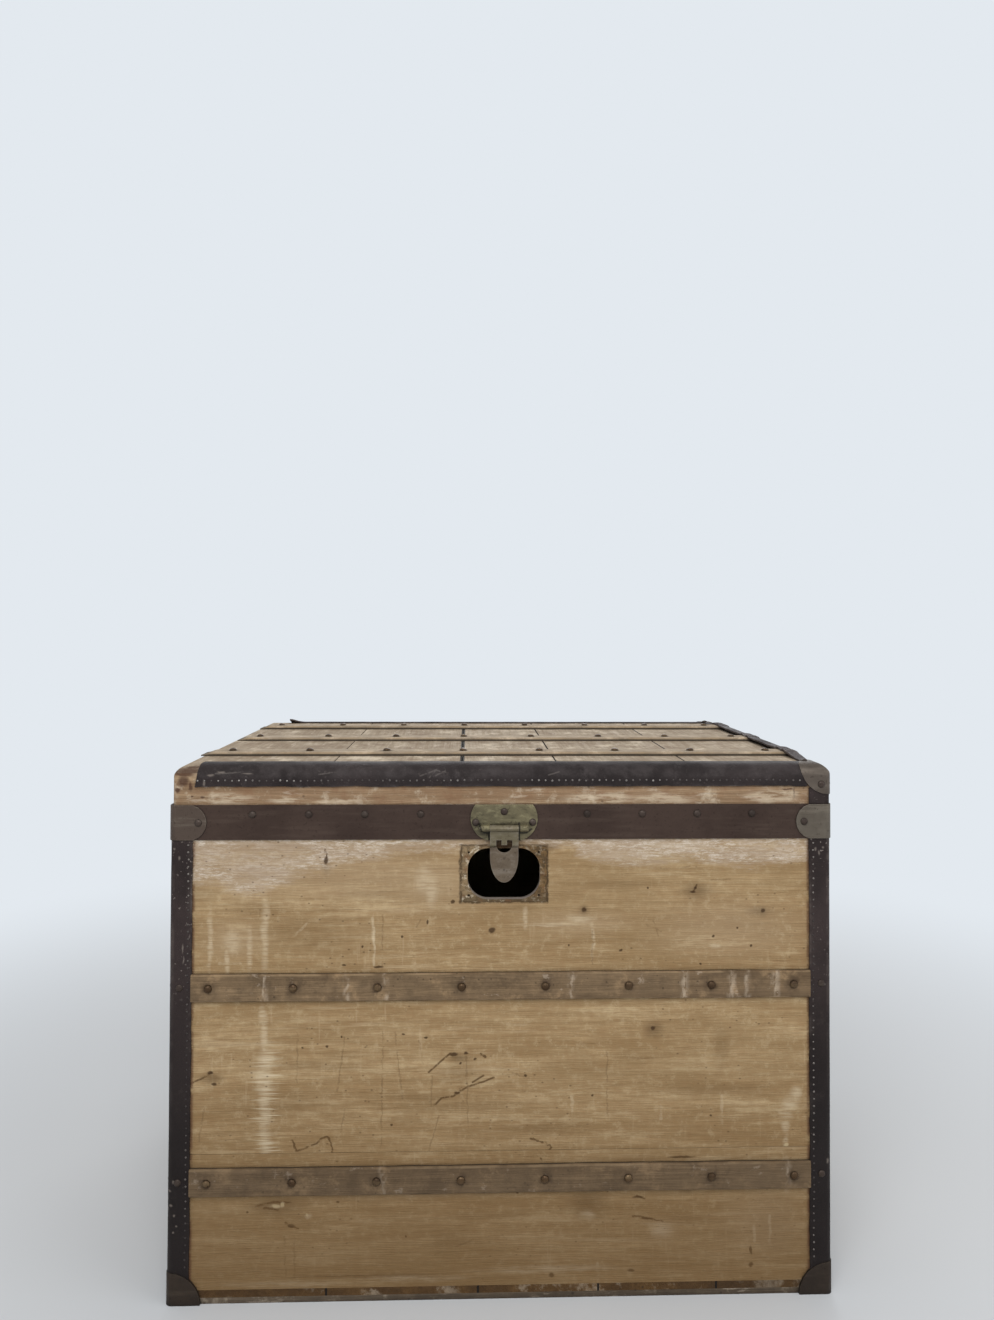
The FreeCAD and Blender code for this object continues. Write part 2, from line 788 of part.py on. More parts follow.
# Nails and rivets
def case_heads():
    heads = []
    for wall_name, (facing, half_length, out) in WALLS.items():
        long_wall = wall_name in ("front", "back")
        count = slat_nail_count if long_wall else side_nail_count
        for z in (upper_slat_z, lower_slat_z):
            for x in spread(half_length - flange_in, nail_end_margin, count):
                heads.append(turned(nail(vec(x, -out - slat_thick, z), -Y_AXIS), facing))
            for s in (-1, 1):
                x = s * (half_length - binding_rivet_inset)
                heads.append(turned(rivet(vec(x, -out - binding, z), -Y_AXIS), facing))
    for facing in (-X_AXIS, X_AXIS):
        for s in (-1, 1):
            x = s * (eye_start + handle_eye_width / 2)
            for level in (-1, 1):
                z = handle_z + level * (handle_plate_height / 2 - handle_rivet_inset)
                heads.append(turned(rivet(vec(x, -half_width - handle_plate, z), -Y_AXIS), facing))
    for x in hinge_places():
        for s in (-1, 1):
            z = hinge_z - hinge_leaf_lift - hinge_case_leaf + hinge_rivet_end
            place = vec(x + s * (hinge_width / 2 - hinge_rivet_inset), half_depth + hinge_leaf, z)
            heads.append(rivet(place, Y_AXIS))
    return heads


def band_heads():
    """Rivets along the band and one at each bracket's tip."""
    heads = []
    for wall_name, (facing, half_length, out) in WALLS.items():
        reach = half_length - band_rivet_margin
        places = [s * share * reach for share in band_rivet_shares for s in (-1, 1)]
        if wall_name in ("left", "right"):
            places = spread(half_length, band_rivet_margin, side_band_rivet_count)
        if wall_name == "back":
            covered = hinge_width / 2 + rivet_radius
            places = [x for x in places if all(abs(x - h) > covered for h in hinge_places())]
        for x in places:
            place = vec(x, -out - band, band_top - band_rivet_drop)
            heads.append(turned(rivet(place, -Y_AXIS), facing))
        for s in (-1, 1):
            x = s * (half_length - bracket_rivet_inset)
            place = vec(x, -out - band - bracket, (lid_bottom + band_top) / 2)
            heads.append(turned(rivet(place, -Y_AXIS), facing))
    return heads


def lid_heads():
    heads = band_heads()
    for row in (-1, 0, 1):
        for x in spread(half_width - flange_in, nail_end_margin, slat_nail_count):
            heads.append(nail(vec(x, row * lid_slat_pitch, lid_top + slat_thick), Z_AXIS))
    for sy in (-1, 1):
        x, y = half_width - cap_rivet_inset, half_depth - cap_rivet_inset
        z = lid_top - cap_rivet_drop
        heads.append(rivet(vec(x, sy * (half_depth + cap_face), z), sy * Y_AXIS))
        heads.append(rivet(vec(half_width + cap_face, sy * y, z), X_AXIS))
        inner = vec(half_width - cap_rivet_drop, sy * (half_depth - cap_rivet_drop), lid_top + cap_face)
        heads.append(rivet(inner, Z_AXIS))
    face = -half_depth - band - hasp_plate
    top = lid_bottom - hasp_plate_drop + hasp_plate_height - hasp_top_rivet_drop
    heads.append(rivet(vec(0, face, top), -Y_AXIS))
    for s in (-1, 1):
        place = vec(s * (hasp_side_half - hasp_rivet_inset), face, lid_bottom + hasp_side_rise)
        heads.append(rivet(place, -Y_AXIS))
    for x in hinge_places():
        for s in (-1, 1):
            z = hinge_z + hinge_leaf_lift + hinge_lid_leaf - hinge_rivet_end
            place = vec(x + s * (hinge_width / 2 - hinge_rivet_inset), half_depth + band + hinge_leaf, z)
            heads.append(rivet(place, Y_AXIS))
    return heads


def write_case():
    lower, middle, upper = wall_boards("front")
    save("front_lower_board", lower)
    save("front_middle_board", middle)
    save("front_upper_board", upper.cut(lock_cuts()))
    for wall_name in ("back", "left", "right"):
        save(f"{wall_name}_boards", *wall_boards(wall_name))
    save("bottom_boards", *bottom_boards())
    for wall_name in WALLS:
        save(f"{wall_name}_upper_slat", wall_slat(wall_name, upper_slat_z))
        save(f"{wall_name}_lower_slat", wall_slat(wall_name, lower_slat_z))
    bindings = {f"{corner}_binding": case_corner_binding(corner) for corner in CORNERS}
    bindings["bottom_left_binding"] = bottom_side_binding(-1)
    bindings["bottom_right_binding"] = bottom_side_binding(1)
    bindings["bottom_back_binding"] = bottom_back_binding()
    for name, shape in bindings.items():
        save(name, shape)
    laid = Part.makeCompound(list(bindings.values()))
    caps = [bottom_cap(corner, laid) for corner in CORNERS]
    save("bottom_corner_caps", *caps)
    save("bottom_runners", *bottom_runners(Part.makeCompound(caps)))
    for name, lip in zip(("front", "left", "right"), rim_lips()):
        save(f"{name}_rim_lip", lip)
    save("case_lining", *case_lining())
    save("case_nails", *case_heads())


def write_lid():
    for name, rail in lid_rails().items():
        save(f"lid_{name}_rail", rail)
    save("lid_boards", *lid_boards())
    slats = {}
    for name, row, loss in (("front", -1, 0), ("middle", 0, middle_slat_loss), ("back", 1, back_slat_loss)):
        slats[name] = lid_slat(row * lid_slat_pitch, loss)
        save(f"lid_{name}_slat", slats[name])
    for name, shape in lid_bands().items():
        save(f"lid_{name}_band", shape)
    save("band_corner_brackets", *[band_bracket(corner) for corner in CORNERS])
    far = half_width - flange_in - binding_corner_gap
    edge = half_depth + binding + overrun
    inner = half_depth - flange_in
    front_start = -half_width - binding + binding_cut
    back_start = -half_width - binding + back_binding_cut
    bindings = {
        "lid_front_binding": lid_edge_binding((front_start, far), (-edge, -inner)),
        "lid_back_binding": lid_edge_binding((back_start, far), (inner, edge)),
        "lid_right_binding": lid_right_binding(list(slats.values())),
    }
    for name, shape in bindings.items():
        save(name, shape)
    uprights = [lid_corner_binding(corner) for corner in ("front_right", "back_right")]
    save("lid_corner_bindings", *uprights)
    laid = Part.makeCompound(list(bindings.values()) + uprights)
    save("lid_corner_caps", *[lid_cap(corner, laid) for corner in ("front_right", "back_right")])
    save("lid_lining", *lid_lining())
    save("lid_nails", *lid_heads())


def write_fittings():
    save("hasp_plate", hasp_plate_body())
    save("hasp_pin", hasp_pin())
    save("hasp_strap", hasp_strap())
    places = hinge_places()
    save("case_hinge_leaves", *[case_hinge_leaf(x) for x in places])
    save("lid_hinge_leaves", *[lid_hinge_leaf(x) for x in places])
    save("hinge_pins", *[hinge_pin(x) for x in places])
    for name, facing in (("left", -X_AXIS), ("right", X_AXIS)):
        save(f"{name}_handle_brackets", *handle_brackets(facing))
        save(f"{name}_handle_bail", handle_bail(facing))


os.makedirs("parts", exist_ok=True)
write_case()
write_lid()
write_fittings()
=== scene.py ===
"""Looks of a slatted travel trunk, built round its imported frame. Metres; the front faces -Y."""
import math
import random
import bmesh
import bpy
from mathutils import Matrix, Vector, noise

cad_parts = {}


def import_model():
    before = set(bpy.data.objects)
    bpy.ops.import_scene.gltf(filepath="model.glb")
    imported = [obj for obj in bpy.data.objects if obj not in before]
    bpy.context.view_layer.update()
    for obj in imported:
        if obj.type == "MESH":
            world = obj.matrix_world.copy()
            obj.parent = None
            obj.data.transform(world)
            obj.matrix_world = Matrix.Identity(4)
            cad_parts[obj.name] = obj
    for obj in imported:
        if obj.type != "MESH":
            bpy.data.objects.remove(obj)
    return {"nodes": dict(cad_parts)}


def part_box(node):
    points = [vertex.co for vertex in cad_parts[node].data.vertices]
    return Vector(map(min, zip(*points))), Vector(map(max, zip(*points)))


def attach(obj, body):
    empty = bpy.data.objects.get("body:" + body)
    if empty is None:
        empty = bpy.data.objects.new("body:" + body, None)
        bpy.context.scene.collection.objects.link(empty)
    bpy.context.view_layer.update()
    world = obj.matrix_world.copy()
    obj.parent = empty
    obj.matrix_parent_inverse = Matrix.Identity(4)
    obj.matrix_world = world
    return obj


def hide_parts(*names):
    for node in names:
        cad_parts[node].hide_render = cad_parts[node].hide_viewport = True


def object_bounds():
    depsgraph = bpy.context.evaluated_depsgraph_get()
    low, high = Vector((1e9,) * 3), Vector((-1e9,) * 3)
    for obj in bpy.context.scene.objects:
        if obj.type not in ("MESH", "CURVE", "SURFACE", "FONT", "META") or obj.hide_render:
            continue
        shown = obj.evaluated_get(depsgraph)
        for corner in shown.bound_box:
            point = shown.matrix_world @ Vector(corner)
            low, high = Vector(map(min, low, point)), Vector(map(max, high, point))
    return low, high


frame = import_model()
cad_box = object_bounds()

MM = 0.001
X, Y, Z = Vector((1, 0, 0)), Vector((0, 1, 0)), Vector((0, 0, 1))

# Places read from the frame
front_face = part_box("front_upper_board")[0].y
case_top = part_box("front_upper_board")[1].z
lid_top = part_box("lid_boards")[1].z
binding_low, binding_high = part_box("front_left_binding")
binding_thick = front_face - binding_low.y
binding_in_x = -binding_high.x
binding_in_y = -binding_high.y


# Colours, written in 0-255 screen values
def tone(red, green, blue):
    """The linear colour that a node takes."""
    linear = []
    for value in (red, green, blue):
        share = value / 255
        linear.append(share / 12.92 if share < 0.04045 else ((share + 0.055) / 1.055) ** 2.4)
    return (*linear, 1.0)


def shade(colour, share):
    """A darker or paler colour of the same hue."""
    return [share * part for part in colour]


# Node materials
MATERIALS = {}


class Tree:
    """The nodes of a material or a world.

    Each node is made after its inputs, which keeps the shader's memory small.
    """

    def __init__(self, owner):
        owner.use_nodes = True
        self.tree = owner.node_tree
        self.tree.nodes.clear()

    def make(self, kind, **settings):
        node = self.tree.nodes.new("ShaderNode" + kind)
        for key, value in settings.items():
            setattr(node, key, value)
        return node

    def put(self, socket, value):
        if isinstance(value, bpy.types.NodeSocket):
            self.tree.links.new(value, socket)
        else:
            socket.default_value = value

    def add(self, kind, inputs, output=0, **settings):
        """Make a node, fill its inputs and give one of its outputs."""
        node = self.make(kind, **settings)
        for key, value in inputs.items():
            self.put(node.inputs[key], value)
        return node.outputs[output]

    def end(self, kind, surface):
        self.put(self.make(kind).inputs["Surface"], surface)

    def calc(self, operation, a, b=0.0):
        return self.add("Math", {0: a, 1: b}, operation=operation)

    def vector(self, operation, a, b=(0, 0, 0)):
        other = "Scale" if operation == "SCALE" else 1
        output = "Value" if operation in ("LENGTH", "DOT_PRODUCT") else "Vector"
        return self.add("VectorMath", {0: a, other: b}, output, operation=operation)

    def ramp(self, value, low, high, start=0.0, end=1.0):
        """A smooth step between two values."""
        inputs = dict(enumerate((value, low, high, start, end)))
        return self.add("MapRange", inputs, interpolation_type="SMOOTHSTEP")


class Shader(Tree):
    """One node material, built a few nodes at a time. Positions are in the frame at rest."""

    def __init__(self, name):
        self.name = name
        self.material = bpy.data.materials.new(name)
        super().__init__(self.material)
        self.bsdf = self.make("BsdfPrincipled")
        self.end("OutputMaterial", self.bsdf.outputs[0])
        self.place = self.add("TexCoord", {}, "Object")
        self.colour = None
        self.normal = None

    def times(self, *masks):
        result = masks[0]
        for mask in masks[1:]:
            result = self.calc("MULTIPLY", result, mask)
        return result

    def least(self, distances):
        """The smallest of several distances. Each joins as soon as it is made."""
        result = None
        for distance in distances:
            result = distance if result is None else self.calc("MINIMUM", result, distance)
        return result

    def part(self, vector, axis):
        return self.add("SeparateXYZ", {0: vector}, axis)

    def triple(self, *parts):
        return self.add("CombineXYZ", dict(enumerate(parts)))

    def spread(self, scale, at=None, shift=0.0):
        """Place and scale of a texture; a scale of three numbers stretches it."""
        at = self.place if at is None else at
        if isinstance(scale, tuple):
            at = self.vector("MULTIPLY", at, scale)
            scale = 1.0
        if shift:
            at = self.vector("ADD", at, (shift, shift * 0.7, shift * 1.3))
        return {"Vector": at, "Scale": scale}

    def noise(self, scale, detail=3.0, rough=0.55, at=None, shift=0.0):
        """Noise from about 0.2 to 0.8."""
        inputs = self.spread(scale, at, shift)
        return self.add("TexNoise", {**inputs, "Detail": detail, "Roughness": rough}, "Fac")

    def patch(self, scale, low, high, detail=3.0, rough=0.55, shift=0.0):
        """Patches of noise: 0 below a level of it, 1 above another."""
        return self.ramp(self.noise(scale, detail, rough, shift=shift), low, high)

    def cells(self, scale):
        """Distance to the nearest of many scattered points."""
        return self.add("TexVoronoi", self.spread(scale), "Distance")

    def specks(self, scale, outer, inner, spread, low, high):
        """Small dots, in groups where a noise of another scale is high."""
        dots = self.ramp(self.cells(scale), outer, inner)
        return self.times(dots, self.patch(spread, low, high, 2.0))

    def curve(self, value, low, high, points):
        """A curve through given points over the stretch from low to high."""
        share = self.calc("DIVIDE", self.calc("SUBTRACT", value, low), high - low)
        node = self.make("FloatCurve")
        self.put(node.inputs["Value"], share)
        line = node.mapping.curves[0]
        shares = [((x - low) / (high - low), y) for x, y in points]
        while len(line.points) < len(shares):
            line.points.new(0.5, 0.5)
        for point, share in zip(line.points, shares):
            point.location = share
        node.mapping.update()
        return node.outputs[0]

    def mix(self, share, a, b):
        """A mixture of two colours, each an output of a node or in screen values."""
        a, b = [paint if isinstance(paint, bpy.types.NodeSocket) else tone(*paint) for paint in (a, b)]
        return self.add("Mix", {0: share, 6: a, 7: b}, 2, data_type="RGBA")

    def over(self, mask, paint, strength=None):
        """Lay a colour over the one so far where a mask is 1, up to a strength."""
        if strength is not None:
            mask = self.times(mask, strength)
        self.colour = self.mix(mask, self.colour, paint)

    def attribute(self, name):
        return self.add("Attribute", {}, "Fac", attribute_name=name)

    def island(self):
        """A different number for each separate solid."""
        return self.add("NewGeometry", {}, "Random Per Island")

    def crevice_shade(self, distance):
        """1 in corners and crevices, 0 in the open. A colour laid over it is painted shade."""
        return self.ramp(self.add("AmbientOcclusion", {"Distance": distance}, "AO", samples=4), 0.9, 0.3)

    def flat(self, across):
        """The place seen square on, with an axis across and height up."""
        return self.triple(self.part(self.place, across), 0.0, self.part(self.place, 2))

    def shaken(self, at, scale, reach):
        """The same place moved a little by noise, for ragged outlines."""
        move = self.times(self.calc("SUBTRACT", self.noise(scale), 0.5), reach)
        return self.vector("ADD", at, self.vector("SCALE", (1.0, 0.0, 0.7), move))

    def combed(self, at, reach):
        """The same place with each thread of the grain pulled to and fro by itself."""
        pull = self.calc("SUBTRACT", self.noise((2.0, 2.0, 420.0), 2.0, shift=4.0), 0.5)
        return self.vector("ADD", at, self.triple(self.times(pull, reach), 0.0, 0.0))

    def spots(self, at, table, soft):
        """Oval marks from a table of across, up, half width and half height in millimetres."""
        def reach(x, z, width, height):
            shares = (1 / (width * MM), 0.0, 1 / (height * MM))
            offset = self.vector("SUBTRACT", at, flat_point(x, z))
            return self.vector("LENGTH", self.vector("MULTIPLY", offset, shares))

        nearest = self.least(reach(*row) for row in table)
        return self.ramp(nearest, 1.0 + soft, 1.0 - soft)

    def apart(self, at, start, end):
        """The distance to a line between two points of a flat place."""
        run = Vector(end) - Vector(start)
        offset = self.vector("SUBTRACT", at, start)
        share = self.vector("DOT_PRODUCT", offset, tuple(run / run.length_squared))
        share = self.calc("MINIMUM", self.calc("MAXIMUM", share, 0.0), 1.0)
        along = self.vector("SCALE", tuple(run), share)
        return self.vector("LENGTH", self.vector("SUBTRACT", offset, along))

    def strokes(self, at, table, width):
        """Thin lines through tables of points in millimetres."""
        nearest = self.least(
            self.apart(at, flat_point(*start), flat_point(*end))
            for line in table
            for start, end in zip(line, line[1:])
        )
        return self.ramp(nearest, width, width * 0.3)

    def grain(self, along, shift):
        """Wood bands, streaks and fibres along an axis, each from 0 to 1."""
        def stretch(run, across):
            return tuple(run if axis == along else across for axis in range(3))

        wander = self.calc("SUBTRACT", self.noise(stretch(1.6, 5.0), 2.0, shift=shift), 0.5)
        wander = self.times(wander, 0.024)
        push = self.triple(*[0.0 if axis == along else wander for axis in range(3)])
        at = self.vector("ADD", self.place, push)
        bands = self.noise(stretch(0.9, 22.0), 4.0, 0.6, at, shift)
        streaks = self.noise(stretch(3.2, 190.0), 4.0, 0.65, at, shift)
        fibres = self.noise(stretch(26.0, 800.0), 2.0, 0.5, at, shift)
        return [self.ramp(mask, 0.32, 0.68) for mask in (bands, streaks, fibres)]

    def rise(self, height, depth):
        """Add a bump of this depth in metres where the mask is 1."""
        inputs = {"Strength": 1.0, "Distance": depth, "Height": height}
        if self.normal is not None:
            inputs["Normal"] = self.normal
        self.normal = self.add("Bump", inputs)

    def done(self, roughness, specular=None, metallic=None):
        """Join the surface and keep the material under its name."""
        surface = {
            "Base Color": self.colour, "Roughness": roughness, "Specular IOR Level": specular,
            "Metallic": metallic, "Normal": self.normal,
        }
        for key, value in surface.items():
            if value is not None:
                self.put(self.bsdf.inputs[key], value)
        MATERIALS[self.name] = self.material


# Marks on the walls, in millimetres across and up
def flat_point(across, up):
    return (across * MM, 0.0, up * MM)


FRONT_UPPER = {
    "knots": (
        (-16, 491, 4, 3.5), (109, 518, 3.4, 3), (353, 515, 3, 2.4), (-239, 586, 2.5, 5), (-68, 530, 2.5, 2.5),
        (-102, 503, 1.4, 3), (-137, 483, 1.6, 1.6), (260, 546, 2, 1.6), (257, 541, 4, 1.4),
        (196, 547, 1.6, 1.6), (-190, 470, 1.4, 1.6), (318, 492, 1.4, 1.4), (-168, 443, 6, 1.6),
        # (0, 607, 15, 7) is no knot but painted shadow behind the hasp strap's eye.
        (0, 607, 15, 7), (159, 463, 2, 1.4), (285, 481, 1.8, 1.6), (337, 468, 1.6, 1.6), (268, 444, 2, 1.4),
        (-214, 446, 3, 1.4), (88, 470, 1.4, 1.4),
    ),
    "halos": (
        (347, 515, 14, 5), (353, 514, 6, 6), (109, 517, 6, 6), (262, 543, 17, 10), (-239, 580, 5, 12),
        # (-27, 605, 12, 7) and (32, 605, 16, 8) are painted shadow beside the hasp strap.
        (-27, 605, 12, 7), (32, 605, 16, 8), (62, 603, 10, 5),
    ),
    "smudges": (
        (-330, 522, 44, 8), (-180, 540, 50, 5), (20, 520, 24, 5), (-408, 540, 20, 12), (-258, 490, 70, 24),
        (160, 552, 40, 5),
    ),
    "pale": (
        (-320, 487, 4, 48), (-394, 480, 3, 34), (-363, 478, 9, 13), (-371, 452, 3, 16), (-340, 465, 3, 26),
        (-107, 560, 10, 16), (-98, 545, 7, 20), (104, 506, 16, 5), (60, 498, 34, 2), (29, 508, 3, 12),
        (120, 480, 2, 22), (-175, 478, 1.5, 26), (240, 603, 40, 5), (288, 468, 7, 3),
    ),
    "haze": (
        (-215, 568, 170, 30), (-95, 556, 60, 34), (-360, 480, 34, 22), (104, 500, 60, 14), (310, 490, 90, 32),
    ),
    "light": (
        ((-286, 480), (-262, 503)), ((-380, 449), (-352, 449)), ((28, 512), (30, 490)),
        ((-176, 508), (-174, 446)),
    ),
    "scratches": (((262, 550), (257, 541)), ((-241, 600), (-238, 590))),
    "faint": (
        ((-163, 512), (-163, 440)), ((195, 497), (214, 488)), ((203, 502), (210, 482)),
        ((-118, 496), (-112, 505)), ((120, 495), (121, 445)), ((283, 558), (296, 557), (308, 558)),
        ((205, 574), (232, 572), (252, 575)),
    ),
    "residue": (
        (-430, 564), (-390, 556), (-347, 544), (-300, 556), (-262, 572), (-200, 586), (-120, 597), (-45, 604),
        (40, 608), (78, 606), (114, 590), (200, 583), (250, 588), (290, 576), (340, 576), (400, 582),
        (430, 600),
    ),
    "lock": (0, 566.5),
}
FRONT_MIDDLE = {
    "knots": (
        (203, 358, 3, 2.6), (30, 296, 2, 2), (-391, 304, 4, 2), (-386, 289, 3.5, 2), (-67, 325, 5, 2.6),
        (-50, 327, 3, 1.8), (-58, 313, 1.4, 1.4), (-38, 319, 1.6, 1.4), (-150, 232, 1.6, 1.6),
        (282, 240, 1.6, 1.6), (-269, 336, 1.6, 1.4), (-237, 337, 1.8, 1.8), (-134, 353, 2.4, 1.4),
        (-104, 348, 2.4, 1.4), (-217, 350, 1.5, 1.5), (120, 268, 1.5, 1.5), (-62, 274, 4, 2),
    ),
    "halos": ((203, 356, 11, 9), (203, 358, 6, 5), (-389, 297, 12, 6), (-60, 320, 12, 5)),
    "smudges": (
        (296, 330, 10, 24), (-265, 313, 60, 5), (-110, 268, 60, 5), (60, 226, 44, 8), (-300, 262, 70, 12),
        (-70, 256, 80, 7), (-60, 300, 26, 14), (290, 274, 70, 6),
    ),
    "pale": (
        (-322, 380, 4, 12), (-320, 350, 3.6, 30), (-318, 308, 9, 26), (-318, 255, 6, 42), (-317, 205, 6, 28),
        (398, 266, 7, 10), (391, 254, 8, 10), (384, 241, 8, 10), (383, 226, 4, 10), (385, 204, 3, 8),
    ),
    "light": (((297, 266), (296, 202)), ((92, 268), (93, 248)), ((214, 262), (214, 236))),
    "whiskers": ((-317, 306, 15, 30), (-316, 250, 11, 44), (-315, 205, 10, 22)),
    "chips": ((385, 199, 2.6, 2.2), (387, 191, 2.4, 2.8)),
    "scratches": (
        (
            (-281, 214), (-276, 199), (-249, 209), (-244, 215), (-235, 218), (-231, 213), (-228, 197),
            (-222, 181),
        ),
        ((-100, 302), (-83, 317), (-71, 327)),
        ((-91, 259), (-83, 267), (-66, 270), (-57, 277), (-44, 283), (-28, 288), (-12, 294)),
        ((-41, 288), (-26, 297)), ((-30, 326), (-24, 321)), ((37, 212), (56, 206), (66, 200), (58, 192)),
        ((-420, 289), (-401, 297), (-390, 304)),
    ),
    "faint": (
        ((-162, 357), (-163, 204)), ((-146, 358), (-135, 267)), ((-213, 350), (-222, 279)),
        ((-211, 260), (-217, 224)), ((-50, 323), (-47, 227)), ((-96, 297), (-96, 257)),
        ((-276, 357), (-276, 290)), ((-399, 257), (-405, 214)), ((-86, 244), (-100, 197)),
        ((-113, 345), (-108, 312)), ((12, 300), (34, 292)), ((140, 330), (141, 240)),
    ),
}
FRONT_LOWER = {
    "knots": (
        (-282, 101, 4.5, 2.6), (242, 184.5, 17, 1.5), (66, 30, 4, 3), (173, 34, 5, 2), (183, 132, 7, 1.6),
        (249, 143, 3, 1.6), (195, 103, 9, 1.5), (-221, 131, 1.8, 1.6), (20, 140, 1.6, 1.4), (336, 39, 3, 3),
        (336, 58, 1.6, 6), (-340, 120, 1.5, 1.5), (-130, 84, 1.6, 1.6), (53, 172, 1.6, 6),
    ),
    "halos": (
        (-302, 127, 30, 9), (114, 124, 22, 17), (112, 128, 12, 9), (250, 140, 9, 4), (-180, 33, 80, 2.5),
    ),
    "smudges": ((240, 102, 40, 7), (-71, 74, 24, 10), (370, 90, 26, 30), (-20, 110, 50, 4)),
    "pale": (
        (-303, 126, 8, 2.6), (-259, 113, 4, 3), (215, 87, 12, 9), (60, 38, 80, 4), (386, 160, 4, 20),
        (-290, 24, 70, 3), (-120, 28, 60, 4), (114, 108, 10, 5),
    ),
    "light": (
        ((127, 44), (129, 20), (160, 16)), ((340, 110), (341, 70)), ((362, 104), (362, 66)),
        ((-262, 110), (-258, 118)),
    ),
    "haze": ((216, 86, 18, 12), (352, 96, 40, 40), (-150, 150, 120, 14)),
    "chips": ((-303, 127, 6, 2.4), (-294, 129, 2.4, 3.4), (-261, 115, 1.5, 2.4)),
    "scratches": (
        ((52, 186), (53, 172)), ((180, 133), (192, 130)), ((176, 107), (216, 99)),
        ((-332, 127), (-316, 130), (-303, 133), (-284, 131)), ((-318, 125), (-300, 122)),
        ((-290, 105), (-282, 100), (-273, 97)),
    ),
    "faint": (
        ((-291, 87), (-289, 32)), ((-278, 87), (-277, 32)), ((-279, 35), (-84, 31)), ((-90, 60), (-40, 78)),
    ),
}
LEFT_MARKS = {
    "knots": ((-120, 500, 7, 5), (90, 300, 6, 5), (180, 96, 8, 5), (-210, 262, 4, 3), (30, 545, 3, 3)),
    "halos": ((-120, 500, 34, 14), (90, 300, 26, 16), (180, 96, 34, 12), (-40, 120, 60, 22)),
    "pale": ((-60, 490, 5, 42), (140, 300, 6, 70), (-190, 320, 5, 46)),
    "scratches": (((-40, 310), (20, 330), (34, 322)), ((-180, 90), (-120, 104))),
    "faint": (((120, 260), (122, 206)), ((-90, 350), (-84, 230)), ((10, 140), (70, 120))),
    "residue": ((-300, 574), (-190, 562), (-60, 584), (60, 592), (170, 578), (300, 566)),
}
RIGHT_MARKS = {
    "knots": ((150, 476, 6, 5), (-70, 342, 7, 5), (-190, 110, 7, 5), (60, 228, 4, 3), (-160, 540, 3, 3)),
    "halos": ((150, 476, 28, 12), (-70, 342, 32, 13), (-190, 110, 30, 12), (90, 80, 60, 14)),
    "pale": ((90, 486, 4, 46), (-150, 296, 5, 58), (220, 316, 5, 40)),
    "scratches": (((60, 372), (84, 330), (80, 318)), ((120, 120), (170, 98))),
    "faint": (((-30, 262), (-34, 200)), ((170, 352), (176, 250)), ((-100, 500), (-60, 470))),
    "residue": ((-300, 560), (-170, 582), (-40, 570), (80, 590), (190, 566), (300, 578)),
}
BACK_MARKS = {
    "knots": ((-250, 500, 7, 5), (60, 330, 6, 5), (300, 110, 8, 5), (-110, 262, 4, 3), (210, 520, 3, 3)),
    "halos": ((-250, 500, 36, 14), (60, 330, 28, 16), (300, 110, 36, 12), (-160, 120, 60, 22)),
    "pale": ((-60, 490, 5, 42), (240, 300, 6, 70), (-330, 320, 5, 46)),
    "scratches": (((-140, 310), (-80, 330), (-66, 322)), ((-280, 90), (-220, 104))),
    "faint": (((220, 260), (222, 206)), ((-190, 350), (-184, 230)), ((110, 140), (170, 120))),
    "residue": ((-430, 572), (-250, 560), (-80, 584), (90, 594), (260, 576), (430, 566)),
}


def residue(s, at, edge_points):
    """Remains of glued cloth along the top: a dull, streaky film, and pale flecks near its ragged edges."""
    low, high = 0.5, 0.65
    points = [(across * MM, (up * MM - low) / (high - low)) for across, up in edge_points]
    edge = s.curve(s.part(at, 0), points[0][0], points[-1][0], points)
    edge = s.calc("ADD", s.times(edge, high - low), low)
    ragged = s.calc("SUBTRACT", s.noise((14.0, 14.0, 56.0), 7.0, 0.75), 0.5)
    above = s.calc("ADD", s.calc("SUBTRACT", s.part(at, 2), edge), s.times(ragged, 0.055))
    film = s.ramp(above, -0.010, 0.014)
    near = s.ramp(above, 0.030, 0.004)
    top = s.ramp(s.part(at, 2), case_top - 0.022, case_top - 0.004)
    broken = s.patch((75.0, 75.0, 330.0), 0.47, 0.58, 8.0, 0.85, shift=2.0)
    broken = s.times(broken, s.patch((15.0, 15.0, 60.0), 0.3, 0.56, 4.0, 0.6))
    strength = s.calc("ADD", s.times(s.calc("MAXIMUM", near, top), 0.5), 0.3)
    flecks = s.times(film, broken, strength)
    uneven = s.ramp(s.noise((22.0, 22.0, 70.0), 6.0, 0.75, shift=6.0), 0.36, 0.62, 0.24, 0.68)
    s.over(film, (182, 163, 143), uneven)
    lines = s.times(film, s.patch((16.0, 16.0, 300.0), 0.5, 0.62, 5.0, 0.7))
    s.over(lines, (148, 126, 102), 0.45)
    s.over(flecks, (216, 204, 188))


